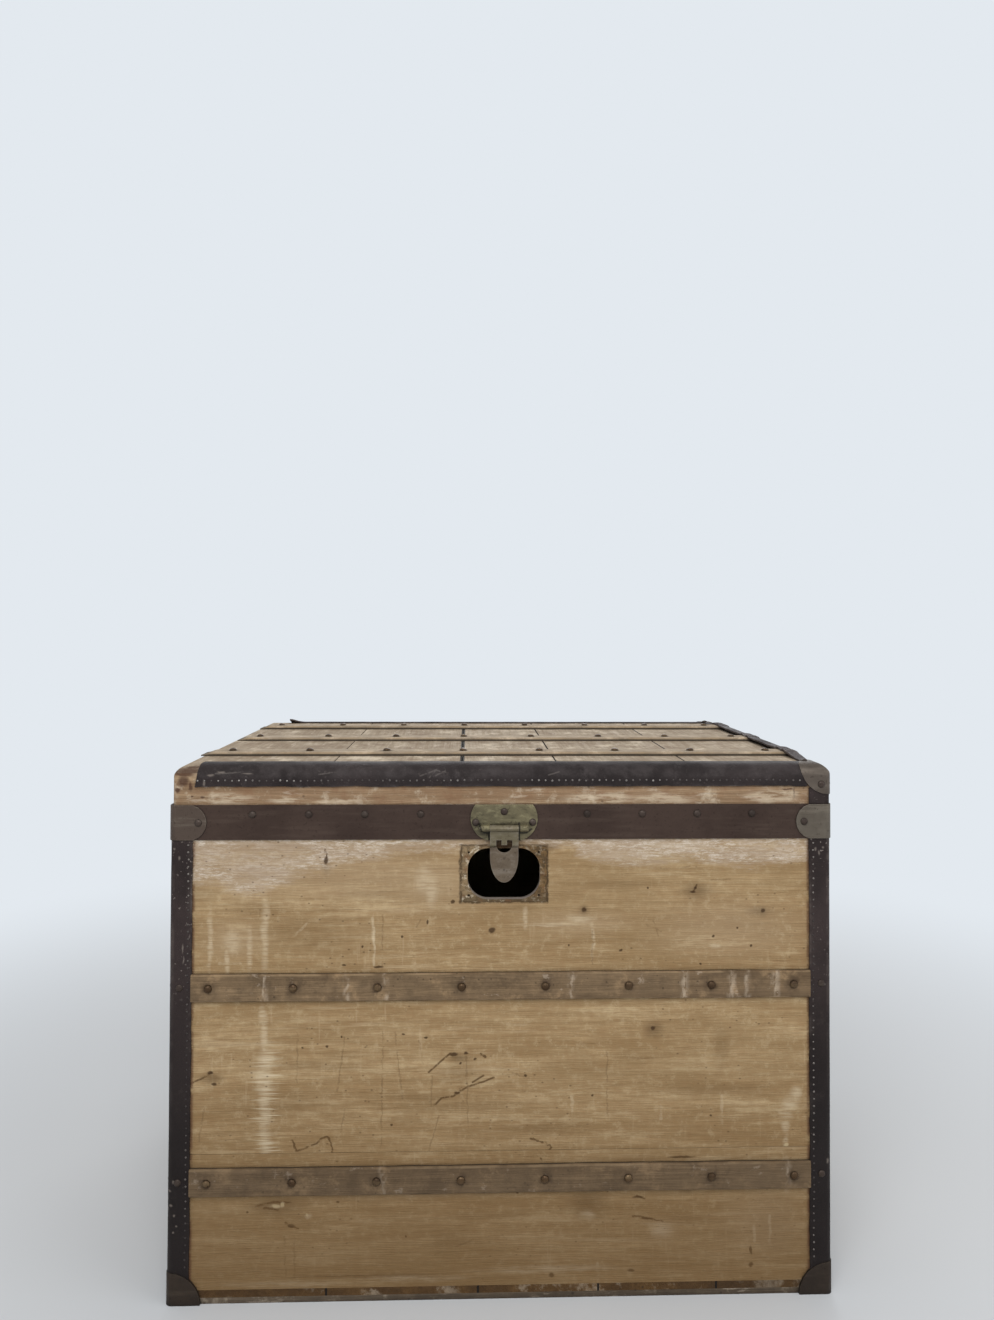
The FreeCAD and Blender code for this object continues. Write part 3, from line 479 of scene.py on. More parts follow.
def lock_ghost(s, at, place):
    """Crusted, rusty wood that a lost lock's plate left round its hole."""
    half_width, half_height = 60.0 * MM, 39.0 * MM
    offset = s.vector("SUBTRACT", s.shaken(at, 140.0, 0.007), flat_point(*place))
    reach = s.vector("MULTIPLY", s.vector("ABSOLUTE", offset), (1 / half_width, 0.0, 1 / half_height))
    reach = s.calc("MAXIMUM", s.part(reach, 0), s.part(reach, 2))
    right = s.ramp(s.part(at, 0), -0.05, 0.05)
    low = s.ramp(s.part(at, 2), 0.545, 0.531)
    under = s.colour
    s.colour = s.mix(right, (138, 116, 86), (108, 82, 50))
    s.over(low, (82, 68, 47), 0.85)
    crust = s.patch(170.0, 0.42, 0.6, 6.0, 0.78)
    s.over(crust, (56, 43, 26), s.ramp(right, 0.0, 1.0, 0.6, 0.85))
    chips = s.patch(130.0, 0.53, 0.61, 5.0, 0.75, shift=4.0)
    s.over(chips, (204, 190, 166), s.ramp(right, 0.1, 0.9, 0.75, 0.25))
    rust = s.patch(70.0, 0.54, 0.66, 4.0, shift=7.0)
    s.over(rust, (104, 62, 34), 0.4)
    rim = s.ramp(s.calc("ABSOLUTE", s.calc("SUBTRACT", reach, 0.98)), 0.045, 0.012)
    rim = s.times(rim, s.patch(45.0, 0.36, 0.5, 4.0, 0.7, shift=9.0))
    s.over(rim, (58, 42, 25), 0.85)
    # The hole's cut wall is pale grey: partly the bare wood's colour, partly a painted highlight of its lit
    # edge.
    cut = s.ramp(s.part(s.place, 1), front_face + 0.0014, front_face + 0.0022)
    s.over(cut, (140, 130, 122), 0.85)
    inside = s.times(s.ramp(reach, 1.03, 0.97), 0.92)
    s.colour = s.mix(inside, under, s.colour)


def wood_base(s, along, pale, dark, shift, contrast=1.0):
    """Bands, streaks and fibres of bare wood. Gives the streak and fibre masks."""
    bands, streaks, fibres = s.grain(along, shift)
    s.colour = s.mix(bands, pale, dark)
    s.over(streaks, shade(dark, 0.84), 0.36 * contrast)
    s.over(fibres, shade(dark, 0.76), 0.26 * contrast)
    return streaks, fibres


def mottled(s, dark, pale, scale, strength, shift):
    """Dark and pale patches of wear and dirt."""
    patches = s.noise(scale, 6.0, 0.74, shift=shift)
    s.over(s.ramp(patches, 0.52, 0.36, 0.0, strength), dark)
    s.over(s.ramp(patches, 0.52, 0.66, 0.0, strength), pale)


def wood_finish(s, streaks, fibres, depth=0.0004):
    s.rise(s.calc("ADD", s.times(fibres, 0.6), s.times(streaks, 0.4)), -depth)
    s.done(s.ramp(streaks, 0.0, 1.0, 0.72, 0.88), specular=0.25)


def wall_wood(name, across, marks, pale, dark, shift):
    """Bare wall boards with knots, runs, scratches, specks and the remains of their cloth."""
    s = Shader(name)
    at = s.flat(across)
    shaken = s.shaken(at, 90.0, 0.006)

    def spotted(kind, soft, paint, strength):
        """The wall's oval marks of a kind, if it has any."""
        if kind in marks:
            s.over(s.spots(shaken, marks[kind], soft), paint, strength)

    def lined(kind, place, width, scale, low, high, paint, strength):
        """The wall's lines of a kind, broken up by noise, if it has any."""
        if kind in marks:
            lines = s.strokes(place, marks[kind], width * MM)
            s.over(s.times(lines, s.patch(scale, low, high, 4.0, 0.7)), paint, strength)

    streaks, fibres = wood_base(s, across, pale, dark, shift, 1.15)
    s.over(s.ramp(s.island(), 0.0, 1.0, 0.0, 0.18), shade(dark, 0.9))
    mottled(s, (136, 108, 72), (194, 170, 132), (7.0, 7.0, 54.0), 0.55, shift + 3)
    mottled(s, (140, 106, 70), (200, 178, 142), 85.0, 0.28, shift + 8)
    cloud = s.patch((3.0, 3.0, 8.0), 0.44, 0.68, 4.0, 0.6, shift=shift + 6)
    s.over(cloud, (140, 115, 80), 0.38)
    threads = s.patch((9.0, 9.0, 150.0), 0.57, 0.7, 4.0)
    threads = s.calc("MAXIMUM", threads, s.patch((130.0, 130.0, 13.0), 0.6, 0.72, 4.0))
    threads = s.times(threads, s.patch(7.0, 0.46, 0.62, 4.0, shift=shift))
    s.over(threads, (200, 178, 144), 0.26)
    dashes = s.patch((11.0, 11.0, 240.0), 0.6, 0.72, 4.0, 0.6, shift=shift + 2)
    dashes = s.times(dashes, s.patch(9.0, 0.46, 0.6, shift=shift + 5))
    s.over(dashes, (112, 84, 52), 0.5)
    spotted("halos", 0.9, (94, 71, 44), 0.6)
    spotted("smudges", 0.9, (106, 81, 50), 0.3)
    fringe = s.patch((26.0, 26.0, 330.0), 0.3, 0.6, 5.0, 0.7)
    runs = s.times(s.spots(s.shaken(at, 45.0, 0.012), marks["pale"], 0.75), fringe)
    s.over(runs, (206, 188, 158), 0.55)
    spotted("haze", 0.9, (180, 157, 128), 0.26)
    lined("light", shaken, 2.8, 48.0, 0.4, 0.6, (206, 188, 158), 0.33)
    if "whiskers" in marks:
        thin = s.patch((6.0, 6.0, 420.0), 0.46, 0.6, 4.0, 0.65, shift=2.0)
        thin = s.times(s.spots(s.combed(at, 0.05), marks["whiskers"], 0.7), thin)
        s.over(thin, (214, 197, 167), 0.75)
    if "residue" in marks:
        residue(s, at, marks["residue"])
    if "lock" in marks:
        lock_ghost(s, at, marks["lock"])
    scratched = s.shaken(shaken, 320.0, 0.004)
    lined("scratches", scratched, 1.9, 110.0, 0.34, 0.5, (80, 56, 30), 0.85)
    lined("faint", scratched, 1.6, 60.0, 0.36, 0.54, (92, 68, 40), 0.34)
    knots = s.times(s.spots(shaken, marks["knots"], 0.4), 0.88)
    specks = s.specks((70.0, 70.0, 110.0), 0.15, 0.06, 6.0, 0.44, 0.58)
    s.over(s.calc("MAXIMUM", knots, s.times(specks, 0.55)), (62, 41, 21))
    spotted("chips", 0.4, (206, 186, 146), 0.75)
    # Darker towards the bottom: painted shade of light falling off towards the floor, partly dirt.
    low = s.ramp(s.part(at, 2), 0.36, 0.02)
    s.over(low, (100, 74, 42), 0.62)
    half_run = binding_in_y if across else binding_in_x
    beside = s.calc("SUBTRACT", half_run, s.calc("ABSOLUTE", s.part(at, 0)))
    glue = s.times(s.ramp(beside, 0.005, 0.001), s.patch(40.0, 0.36, 0.52, 4.0, 0.7))
    s.over(glue, (88, 54, 38), 0.7)
    # Painted shade in corners and crevices, along the slats and bindings.
    s.over(s.crevice_shade(0.010), (60, 44, 29), 0.6)
    wood_finish(s, streaks, fibres)


def plain_wood(
    name, along, pale, dark, dirt_and_shade, shift,
    flecks=0.0, patches=0.3, contrast=1.0, stains=(), scraped=(), gaps=(),
):
    """Aged bare wood with bands, streaks, fibres, dirt, pale scraps, a few stains and painted shade in its
    crevices.
    """
    s = Shader(name)
    streaks, fibres = wood_base(s, along, pale, dark, shift, contrast)
    s.over(s.ramp(s.island(), 0.0, 1.0, 0.0, 0.2), shade(dark, 0.86))
    mottled(s, dirt_and_shade, (208, 192, 168), 24.0, patches, shift + 4)
    s.over(s.patch(8.0, 0.46, 0.72, 5.0, 0.62, shift=shift), dirt_and_shade, 0.5)
    if flecks:
        wide, fine = 16.0, 90.0
        scale = tuple(wide if axis == along else fine for axis in range(3))
        scraps = s.patch(scale, 0.57, 0.65, 6.0, 0.7, shift=shift + 2)
        s.over(scraps, (204, 188, 168), flecks)
    s.over(s.specks(60.0, 0.14, 0.06, 9.0, 0.46, 0.6), shade(dirt_and_shade, 0.5), 0.55)
    if stains:
        at = s.shaken(s.flat(0), 110.0, 0.008)
        s.over(s.spots(at, stains, 0.5), (70, 44, 32), 0.82)
    if scraped:
        at = s.shaken(s.flat(0), 60.0, 0.012)
        bare = s.spots(at, scraped, 0.4)
        bare = s.times(bare, s.patch((26.0, 26.0, 180.0), 0.4, 0.54, 5.0, 0.75))
        s.over(bare, (206, 188, 162), 0.55)
    for place, half in gaps:
        apart = s.calc("ABSOLUTE", s.calc("SUBTRACT", s.part(s.place, 0), place))
        s.over(s.ramp(apart, half * 1.5, half * 0.8), (26, 21, 17))
    # Painted shade in corners and crevices, in a darker dirt colour.
    s.over(s.crevice_shade(0.010), shade(dirt_and_shade, 0.5), 0.75)
    wood_finish(s, streaks, fibres, 0.0005)


def slat_wood(name, along, pale, dark, shift):
    """Grey-brown slats, paler on their worn arrises, rusty round the nails, with pale runs."""
    s = Shader(name)
    streaks, fibres = wood_base(s, along, pale, dark, shift, 1.5)
    mottled(s, shade(dark, 0.76), shade(pale, 1.14), 28.0, 0.6, shift)
    plum = s.patch(13.0, 0.48, 0.64, 4.0, 0.6, shift=shift + 5)
    s.over(plum, shade(pale, 0.84), 0.4)
    scraps = s.patch((50.0, 50.0, 70.0), 0.61, 0.68, 6.0, 0.7, shift=shift)
    s.over(scraps, (188, 170, 150), 0.4)
    s.over(s.specks(90.0, 0.16, 0.07, 9.0, 0.44, 0.58), shade(dark, 0.4), 0.55)
    runs = s.times(s.attribute("pale"), s.patch((200.0, 200.0, 90.0), 0.38, 0.58, 4.0, 0.6))
    s.over(runs, (190, 172, 150), 0.7)
    worn = s.times(s.attribute("wear"), s.patch(20.0, 0.42, 0.6, 4.0, 0.6))
    s.over(worn, (166, 142, 110), 0.45)
    rust = s.times(s.attribute("rust"), s.patch(120.0, 0.3, 0.62))
    s.over(rust, (58, 42, 30), 0.75)
    # Darker towards the bottom: painted shade of light falling off towards the floor.
    s.over(s.ramp(s.part(s.place, 2), 0.42, 0.05, 0.0, 0.5), shade(dark, 0.68))
    # Painted shadow along each slat's foot, where it meets the boards, and on its thinned end.
    s.over(s.attribute("foot"), shade(dark, 0.3), 0.92)
    # Painted shade in crevices and round the nails.
    s.over(s.crevice_shade(0.008), shade(dark, 0.4), 0.5)
    wood_finish(s, streaks, fibres)


def hide(name, deep, rubbed, grain_scale, speckle, flecks, scratches=()):
    """Dark leather or vulcanised fibre: fine grain, rubbed ridges, scuffs, pale specks and scratches."""
    s = Shader(name)
    cloud = s.patch(9.0, 0.35, 0.68, 5.0, 0.6)
    s.colour = s.mix(cloud, deep, shade(deep, 0.7))
    pores = s.cells(grain_scale)
    s.over(s.ramp(pores, 0.5, 0.1, 0.0, 0.25), shade(deep, 0.5))
    scuff = s.patch((22.0, 34.0, 20.0), 0.55, 0.7, 6.0, 0.72, shift=5.0)
    s.over(scuff, rubbed, 0.4)
    specks = s.patch(230.0, 0.64, 0.7, 2.0, 0.5, shift=1.0)
    specks = s.times(specks, s.patch(11.0, 0.42, 0.6, 2.0))
    s.over(specks, (150, 138, 130), speckle)
    worn = s.times(s.attribute("wear"), s.patch(30.0, 0.42, 0.64, 5.0, 0.65))
    s.over(worn, rubbed, 0.5)
    # Darker towards the bottom: painted shade of light falling off towards the floor.
    low = s.ramp(s.part(s.place, 2), 0.58, 0.16)
    s.over(low, shade(deep, 0.44), 0.85)
    at = s.shaken(s.flat(0), 150.0, 0.004)
    front = s.ramp(s.part(s.place, 1), front_face + 0.004, front_face + 0.001)
    s.over(s.times(s.spots(at, flecks, 0.7), front), (150, 138, 128), 0.4)
    if scratches:
        lines = s.times(s.strokes(at, scratches, 1.3 * MM), s.patch(140.0, 0.36, 0.54))
        s.over(lines, (122, 114, 108), 0.3)
    s.rise(pores, 0.0003)
    s.rise(scuff, 0.0004)
    s.done(s.ramp(cloud, 0.0, 1.0, 0.5, 0.7), specular=0.16)


def painted_metal(
    name, body, light, dark, rust, metallic, rough, wear=0.65, beyond=None, shadow_lines=(), dots=(), blotch=0.0
):
    """Old sheet metal: streaked skin, dents, rubbed arrises and rust specks.

    It may have another skin beyond a place, lines of painted shadow, and the ends of rivets.
    """
    s = Shader(name)
    cloud = s.patch(14.0, 0.34, 0.68, 5.0, 0.62)
    s.colour = s.mix(cloud, body, dark)
    if beyond:
        axis, start, end, skin = beyond
        s.over(s.ramp(s.part(s.place, axis), start, end), skin)
    streak = s.patch((10.0, 10.0, 90.0), 0.48, 0.7, 4.0, 0.6)
    s.over(streak, light, 0.3)
    if blotch:
        patches = s.noise((60.0, 60.0, 130.0), 5.0, 0.7, shift=3.0)
        s.over(s.ramp(patches, 0.5, 0.66, 0.0, blotch), light)
        s.over(s.ramp(patches, 0.48, 0.32, 0.0, blotch), rust)
    fine = s.patch(240.0, 0.56, 0.68, 4.0, 0.7)
    s.over(fine, rust, 0.5)
    # Paler arrises: rubbed wear. On the hasp strap they also stand for the highlight along its rim, a painted
    # highlight there.
    edge = s.add("Bevel", {"Radius": 0.0014}, samples=4)
    bent = s.vector("DOT_PRODUCT", edge, s.add("NewGeometry", {}, "Normal"))
    worn = s.times(s.ramp(bent, 0.985, 0.86), s.patch(60.0, 0.36, 0.58, 4.0, 0.6))
    s.over(worn, light, wear)
    # Painted shadow under the hasp's barrel and beside its strap.
    if shadow_lines:
        at = s.shaken(s.flat(0), 200.0, 0.002)
        s.over(s.strokes(at, shadow_lines, 2.0 * MM), shade(dark, 0.35), 0.85)
    if dots:
        s.over(s.spots(s.flat(0), dots, 0.3), shade(dark, 0.6), 0.45)
    # Painted shade in crevices and round raised parts such as rivets and the hasp's barrel.
    s.over(s.crevice_shade(0.008), shade(dark, 0.35), 0.8)
    s.rise(s.noise(26.0), 0.0009)
    s.rise(fine, 0.0002)
    roughness = s.calc("ADD", s.ramp(cloud, 0.0, 1.0, rough - 0.06, rough + 0.1), s.times(fine, 0.15))
    s.done(roughness, specular=0.3 if metallic else 0.14, metallic=metallic)


def tack_metal(name, dull, bright, start=0.42, end=0.62, bright_end=None):
    """Small tacks, bright in places and dark in others. They may be brighter beyond a place on the left."""
    s = Shader(name)
    clean = s.patch(9.0, start, end, 4.0, 0.7)
    if bright_end is not None:
        rubbed = s.ramp(s.part(s.place, 0), bright_end, bright_end - 0.06)
        clean = s.calc("MAXIMUM", clean, s.times(rubbed, s.patch(40.0, 0.36, 0.6, 2.0)))
    s.colour = s.mix(clean, dull, bright)
    s.over(s.ramp(s.noise(900.0, 2.0), 0.5, 0.7, 0.0, 0.6), shade(dull, 0.7))
    s.done(s.ramp(clean, 0.0, 1.0, 0.6, 0.42), metallic=0.3)


def lining_cloth():
    """Plain woven lining with uneven threads, darkened in the corners by painted shade, with a few age spots.
    """
    s = Shader("lining_cloth")
    thread = 5200.0
    warp = s.calc("SINE", s.times(s.calc("ADD", s.part(s.place, 0), s.part(s.place, 1)), thread))
    weft = s.calc("SINE", s.times(s.calc("ADD", s.part(s.place, 2), s.part(s.place, 1)), thread))
    weave = s.times(warp, weft)
    slubs = s.calc("MAXIMUM", s.noise((260.0, 260.0, 9.0), 2.0), s.noise((9.0, 9.0, 260.0), 2.0))
    aged = s.patch(2.6, 0.36, 0.68, 5.0, 0.65)
    s.colour = s.mix(aged, (204, 190, 160), (186, 169, 136))
    s.over(s.ramp(slubs, 0.52, 0.7, 0.0, 0.4), (164, 144, 108))
    s.over(s.ramp(weave, -1.0, 1.0, 0.0, 0.2), (120, 102, 74))
    s.over(s.specks(26.0, 0.16, 0.03, 5.0, 0.5, 0.62), (132, 92, 54), 0.45)
    # Painted shade in the corners of the box.
    s.over(s.crevice_shade(0.10), (132, 110, 78), 0.5)
    s.rise(s.noise((5.0, 5.0, 5.0)), 0.004)
    s.rise(weave, 0.0002)
    s.done(s.ramp(aged, 0.0, 1.0, 0.85, 0.95))


def islands(node):
    """The corners of each separate solid's box in a node."""
    made = bmesh.new()
    made.from_mesh(frame["nodes"][node].data)
    bmesh.ops.remove_doubles(made, verts=made.verts, dist=1e-5)
    found, seen = [], set()
    for start in made.verts:
        if start in seen:
            continue
        seen.add(start)
        group = [start]
        for vert in group:
            for edge in vert.link_edges:
                other = edge.other_vert(vert)
                if other not in seen:
                    seen.add(other)
                    group.append(other)
        low = Vector([min(vert.co[axis] for vert in group) for axis in range(3)])
        high = Vector([max(vert.co[axis] for vert in group) for axis in range(3)])
        found.append((low, high))
    made.free()
    return found


def joints(node, half):
    """Where a node's boards meet, with the half width of each gap."""
    boards = sorted(islands(node), key=lambda box: box[0].x)
    return [((left[1].x + right[0].x) / 2, half) for left, right in zip(boards, boards[1:])]


def lid_joints():
    """The lid's joints, of which one has opened wide and the left one is still tight."""
    opened = -0.057
    narrow = joints("lid_boards", 1.0 * MM)
    widest = min(narrow, key=lambda joint: abs(joint[0] - opened))
    tight = min(narrow)
    others = [joint for joint in narrow if joint not in (widest, tight)]
    return others + [(widest[0], 2.6 * MM), (tight[0], 0.5 * MM)]


def hasp_painted_shadows():
    """Lines of painted shadow under the hasp's barrel and beside its strap, in millimetres across and up."""
    level = sum(corner.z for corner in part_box("hasp_pin")) / 2 / MM
    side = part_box("hasp_strap")[1].x / MM + 0.9
    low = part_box("hasp_plate")[0].z / MM
    under = ((-33, level + 5), (-31, level - 3), (-27, level - 6.8), (30, level - 6.8), (37, level - 2))
    return under, ((-side, low), (-side, level - 5)), ((side, low), (side, level + 6))


# Stains at the lid's corners. (-430, 701, 15, 2.5) lies along the joint of rail and boards: partly stain,
# partly painted shadow of that joint.
CORNER_STAINS = (
    (-430, 692, 7, 7), (-438, 680, 4, 3), (-421, 685, 2.5, 6), (-430, 701, 15, 2.5), (-330, 690, 1.5, 1.5),
    (-404, 671, 3, 1.4), (-418, 672, 2, 1.2), (396, 674, 1.2, 7), (388, 680, 8, 1.2),
)
# Stains at the left lid corner, near the joint with the rail: partly stain, partly painted shadow of that
# joint.
LID_STAINS = ((-426, 705, 17, 4), (-441, 700, 5, 9), (-420, 709, 10, 1.5))
RAIL_SCRAPES = (
    (-288, 666, 27, 5), (-225, 664, 30, 3), (-375, 668, 34, 7), (130, 668, 44, 8), (215, 666, 40, 8),
    (365, 670, 34, 8),
)
FIBRE_FLECKS = (
    (-446, 126, 1.8, 2.2), (-441, 131, 2, 1.6), (-436, 118, 1.4, 1.4), (-447, 108, 1.2, 2),
    (-433, 104, 1.3, 1.3), (-437, 96, 1.2, 1.2), (-443, 150, 2, 1.5), (-438, 162, 1.4, 2), (425, 599, 1.6, 2),
    (430, 594, 1.3, 3), (435, 601, 1.2, 1.4), (-434, 590, 1.2, 2.4), (-441, 602, 1.6, 1.4),
    (-428, 470, 0.9, 5), (-427, 455, 0.9, 4), (441, 178, 1.6, 3),
)
LEATHER_FLECKS = (
    (-394, 700, 4, 1.2), (-402, 690, 1.5, 4), (-380, 704, 5, 1), (-345, 702, 6, 0.8), (-398, 684, 6, 1),
    (310, 684, 9, 1.2),
)
LEATHER_SCRATCHES = (
    ((-114, 699), (-93, 706), (-76, 703)), ((-101, 697), (-92, 707)), ((-96, 698), (-80, 705)),
    ((-388, 702), (-352, 704)), ((-250, 701), (-228, 704)), ((60, 700), (74, 704)),
)
STRAP_RIVETS = ((0, 589, 1.7, 1.7), (0, 573.5, 1.7, 1.7))

# Axis across, marks, pale and dark colours, shift of the noise
FRONT_BOARDS = {"upper": FRONT_UPPER, "middle": FRONT_MIDDLE, "lower": FRONT_LOWER}
for number, (level, marks) in enumerate(FRONT_BOARDS.items()):
    wall_wood(f"front_{level}_wood", 0, marks, (182, 154, 114), (160, 131, 92), number + 1.0)
OTHER_BOARDS = {"left": (1, LEFT_MARKS, 4.0), "right": (1, RIGHT_MARKS, 9.0), "back": (0, BACK_MARKS, 5.0)}
for wall, (across, marks, shift) in OTHER_BOARDS.items():
    wall_wood(f"{wall}_wood", across, marks, (178, 150, 110), (156, 127, 89), shift)
# Axis of the grain, pale, dark and dirt colours (the dirt colour also gives the painted shade in crevices),
# shift of the noise; then flecks, patches and contrast
plain_wood(
    "under_wood", 1, (104, 76, 42), (81, 57, 31), (56, 40, 22), 6.0, gaps=joints("bottom_boards", 1.2 * MM),
)
plain_wood("lip_wood", 0, (168, 142, 104), (146, 119, 84), (108, 86, 58), 11.0)
plain_wood("runner_wood", 0, (118, 104, 88), (84, 71, 56), (52, 44, 36), 7.0, 0.35)
plain_wood(
    "lid_wood", 1, (184, 167, 144), (160, 141, 117), (126, 106, 84), 2.0, 0.4, 0.75, 1.4,
    stains=LID_STAINS, gaps=lid_joints(),
)
plain_wood(
    "rail_wood", 0, (192, 166, 132), (152, 122, 92), (128, 94, 68), 5.0, 0.4, 0.55, 2.0,
    stains=CORNER_STAINS, scraped=RAIL_SCRAPES,
)
plain_wood("side_rail_wood", 1, (186, 160, 128), (150, 120, 92), (126, 94, 70), 8.0, 0.4, 0.55, 1.8)
# Axis of the grain, pale and dark colours, shift of the noise
slat_wood("slat_wood_x", 0, (139, 115, 86), (108, 87, 64), 1.0)
slat_wood("slat_wood_y", 1, (139, 115, 86), (108, 87, 64), 3.0)
slat_wood("lid_slat_wood", 0, (188, 170, 147), (162, 143, 119), 2.0)
# Deep and rubbed colours, scale of the grain, strength of the specks
hide("edge_fibre", (59, 48, 46), (108, 97, 90), 900.0, 0.6, FIBRE_FLECKS)
hide("edge_leather", (47, 39, 38), (82, 75, 74), 700.0, 0.1, LEATHER_FLECKS, LEATHER_SCRATCHES)
# Body, light, dark and rust colours, metallic, roughness; then wear
painted_metal("band_metal", (65, 51, 44), (86, 72, 63), (56, 43, 37), (46, 34, 28), 0.0, 0.54, 0.3)
painted_metal(
    "corner_metal", (103, 95, 84), (144, 134, 120), (82, 73, 63), (60, 49, 40), 0.45, 0.48,
    beyond=(0, 0.02, -0.02, (81, 68, 59)),
)
painted_metal("cap_metal", (92, 82, 73), (134, 124, 112), (74, 65, 57), (56, 45, 37), 0.45, 0.48)
painted_metal("foot_metal", (56, 45, 36), (84, 73, 61), (44, 35, 28), (38, 28, 21), 0.3, 0.54)
painted_metal(
    "hasp_brass", (112, 103, 78), (158, 149, 114), (76, 70, 54), (50, 44, 32), 0.5, 0.42,
    shadow_lines=hasp_painted_shadows(), blotch=0.42,
)
painted_metal(
    "hasp_steel", (109, 95, 79), (152, 142, 130), (84, 72, 59), (60, 45, 32), 0.5, 0.44,
    beyond=(2, 0.6035, 0.6055, (106, 97, 76)), dots=STRAP_RIVETS, blotch=0.25,
)
painted_metal("iron", (70, 60, 51), (118, 106, 92), (46, 38, 32), (66, 44, 28), 0.5, 0.5)
painted_metal("nail", (82, 61, 39), (160, 136, 102), (58, 42, 26), (50, 34, 20), 0.5, 0.36)
painted_metal("rivet", (64, 52, 45), (106, 94, 84), (48, 38, 32), (42, 31, 25), 0.35, 0.44)
# Dull and bright colours; then the noise levels between them
tack_metal("tack", (66, 59, 56), (160, 153, 147), 0.46, 0.68, bright_end=-0.30)
tack_metal("dull_tack", (54, 46, 44), (118, 110, 104))
lining_cloth()


# Meshes
SHARP = math.radians(40)


def placed(name, data):
    """A new object in the scene."""
    piece = bpy.data.objects.new(name, data)
    bpy.context.scene.collection.objects.link(piece)
    return piece


def finish_piece(name, mesh, body, material, replaced=()):
    mesh.materials.append(MATERIALS[material])
    piece = placed(name, mesh)
    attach(piece, body)
    if replaced:
        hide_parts(*replaced)


def loft(name, rings, masks):
    """A closed mesh through rings of points, with named masks per point."""
    count = len(rings[0])
    points = [point for ring in rings for point in ring]
    faces = []
    for row in range(len(rings) - 1):
        for i in range(count):
            j = (i + 1) % count
            low, high = row * count, (row + 1) * count
            faces.append((low + i, low + j, high + j, high + i))
    faces.append(tuple(reversed(range(count))))
    faces.append(tuple(range(len(points) - count, len(points))))
    mesh = bpy.data.meshes.new(name)
    mesh.from_pydata(points, [], faces)
    mesh.validate()
    made = bmesh.new()
    made.from_mesh(mesh)
    bmesh.ops.recalc_face_normals(made, faces=made.faces)
    made.to_mesh(mesh)
    made.free()
    for mask, values in masks.items():
        mesh.attributes.new(mask, "FLOAT", "POINT").data.foreach_set("value", values)
    mesh.polygons.foreach_set("use_smooth", [True] * len(mesh.polygons))
    mesh.set_sharp_from_angle(angle=SHARP)
    return mesh


def wobble(seed, *place):
    """Smooth noise from about -1 to 1."""
    return noise.noise(Vector(place) + Vector((seed * 7.3, seed * 3.1, seed * 5.7)))


def stations(low, high, step):
    count = max(2, round((high - low) / step))
    return [low + (high - low) * i / count for i in range(count + 1)]


def head_places(node):
    """Seat, outward normal, radius and height of each nail or rivet head in a node."""
    middle_z = (cad_box[0].z + cad_box[1].z) / 2
    heads = []
    for low, high in islands(node):
        size = high - low
        axis = min(range(3), key=lambda a: size[a])
        centre = (low + high) / 2
        side = 1 if centre[axis] > (middle_z if axis == 2 else 0) else -1
        normal = Vector([side if a == axis else 0 for a in range(3)])
        seat = centre.copy()
        seat[axis] = low[axis] if side > 0 else high[axis]
        radius = max(size[a] for a in range(3)) / 2
        heads.append((seat, normal, radius, size[axis]))
    return heads


def dome(made, seat, normal, radius, height, rng, sides, rings):
    """A hammered head: a low dome with a slight tilt and a flat or two. Gives its faces."""
    turn = normal.to_track_quat("Z", "Y").to_matrix()
    tilt, dent = 0.12, 0.03
    lean = Vector((rng.uniform(-tilt, tilt), rng.uniform(-tilt, tilt), 0))
    rows = []
    for i in range(rings):
        share = i / rings * math.pi / 2
        row = []
        for j in range(sides):
            angle = 2 * math.pi * j / sides
            reach = radius * math.cos(share) * (1 + rng.uniform(-dent, dent))
            lift = height * math.sin(share) * (1 + lean.x * math.cos(angle) + lean.y * math.sin(angle))
            local = Vector((reach * math.cos(angle), reach * math.sin(angle), lift))
            row.append(made.verts.new(seat + turn @ local))
        rows.append(row)
    tip = made.verts.new(seat + turn @ Vector((0, 0, height)))
    faces = []
    for lower, upper in zip(rows, rows[1:]):
        for j in range(sides):
            k = (j + 1) % sides
            faces.append(made.faces.new((lower[j], lower[k], upper[k], upper[j])))
    for j in range(sides):
        faces.append(made.faces.new((rows[-1][j], rows[-1][(j + 1) % sides], tip)))
    for face in faces:
        face.smooth = True
    return faces + [made.faces.new(list(reversed(rows[0])))]


def domes(name, places, body, material, seed, replaced=(), small=None, sides=14, rings=4):
    """Many heads in one piece. Heads no wider than a rivet may have a material of their own."""
    rng = random.Random(seed)
    made = bmesh.new()
    for seat, normal, radius, height in places:
        for face in dome(made, seat, normal, radius, height, rng, sides, rings):
            face.material_index = 1 if small and radius < rivet_limit else 0
    mesh = bpy.data.meshes.new(name)
    made.to_mesh(mesh)
    made.free()
    finish_piece(name, mesh, body, material, replaced)
    if small:
        mesh.materials.append(MATERIALS[small])


def near_end(value, end, reach):
    """1 at an end, falling smoothly to 0 within a reach."""
    share = max(0.0, 1 - abs(value - end) / reach)
    return share * share * (3 - 2 * share)


# Nails and rivets
rivet_limit = 5.3 * MM
NAILS = {"case_nails": "case", "lid_nails": "lid"}
HEADS = {node: head_places(node) for node in NAILS}
for number, (node, body) in enumerate(NAILS.items()):
    domes(f"{node}_domed", HEADS[node], body, "nail", number + 1, (node,), "rivet")


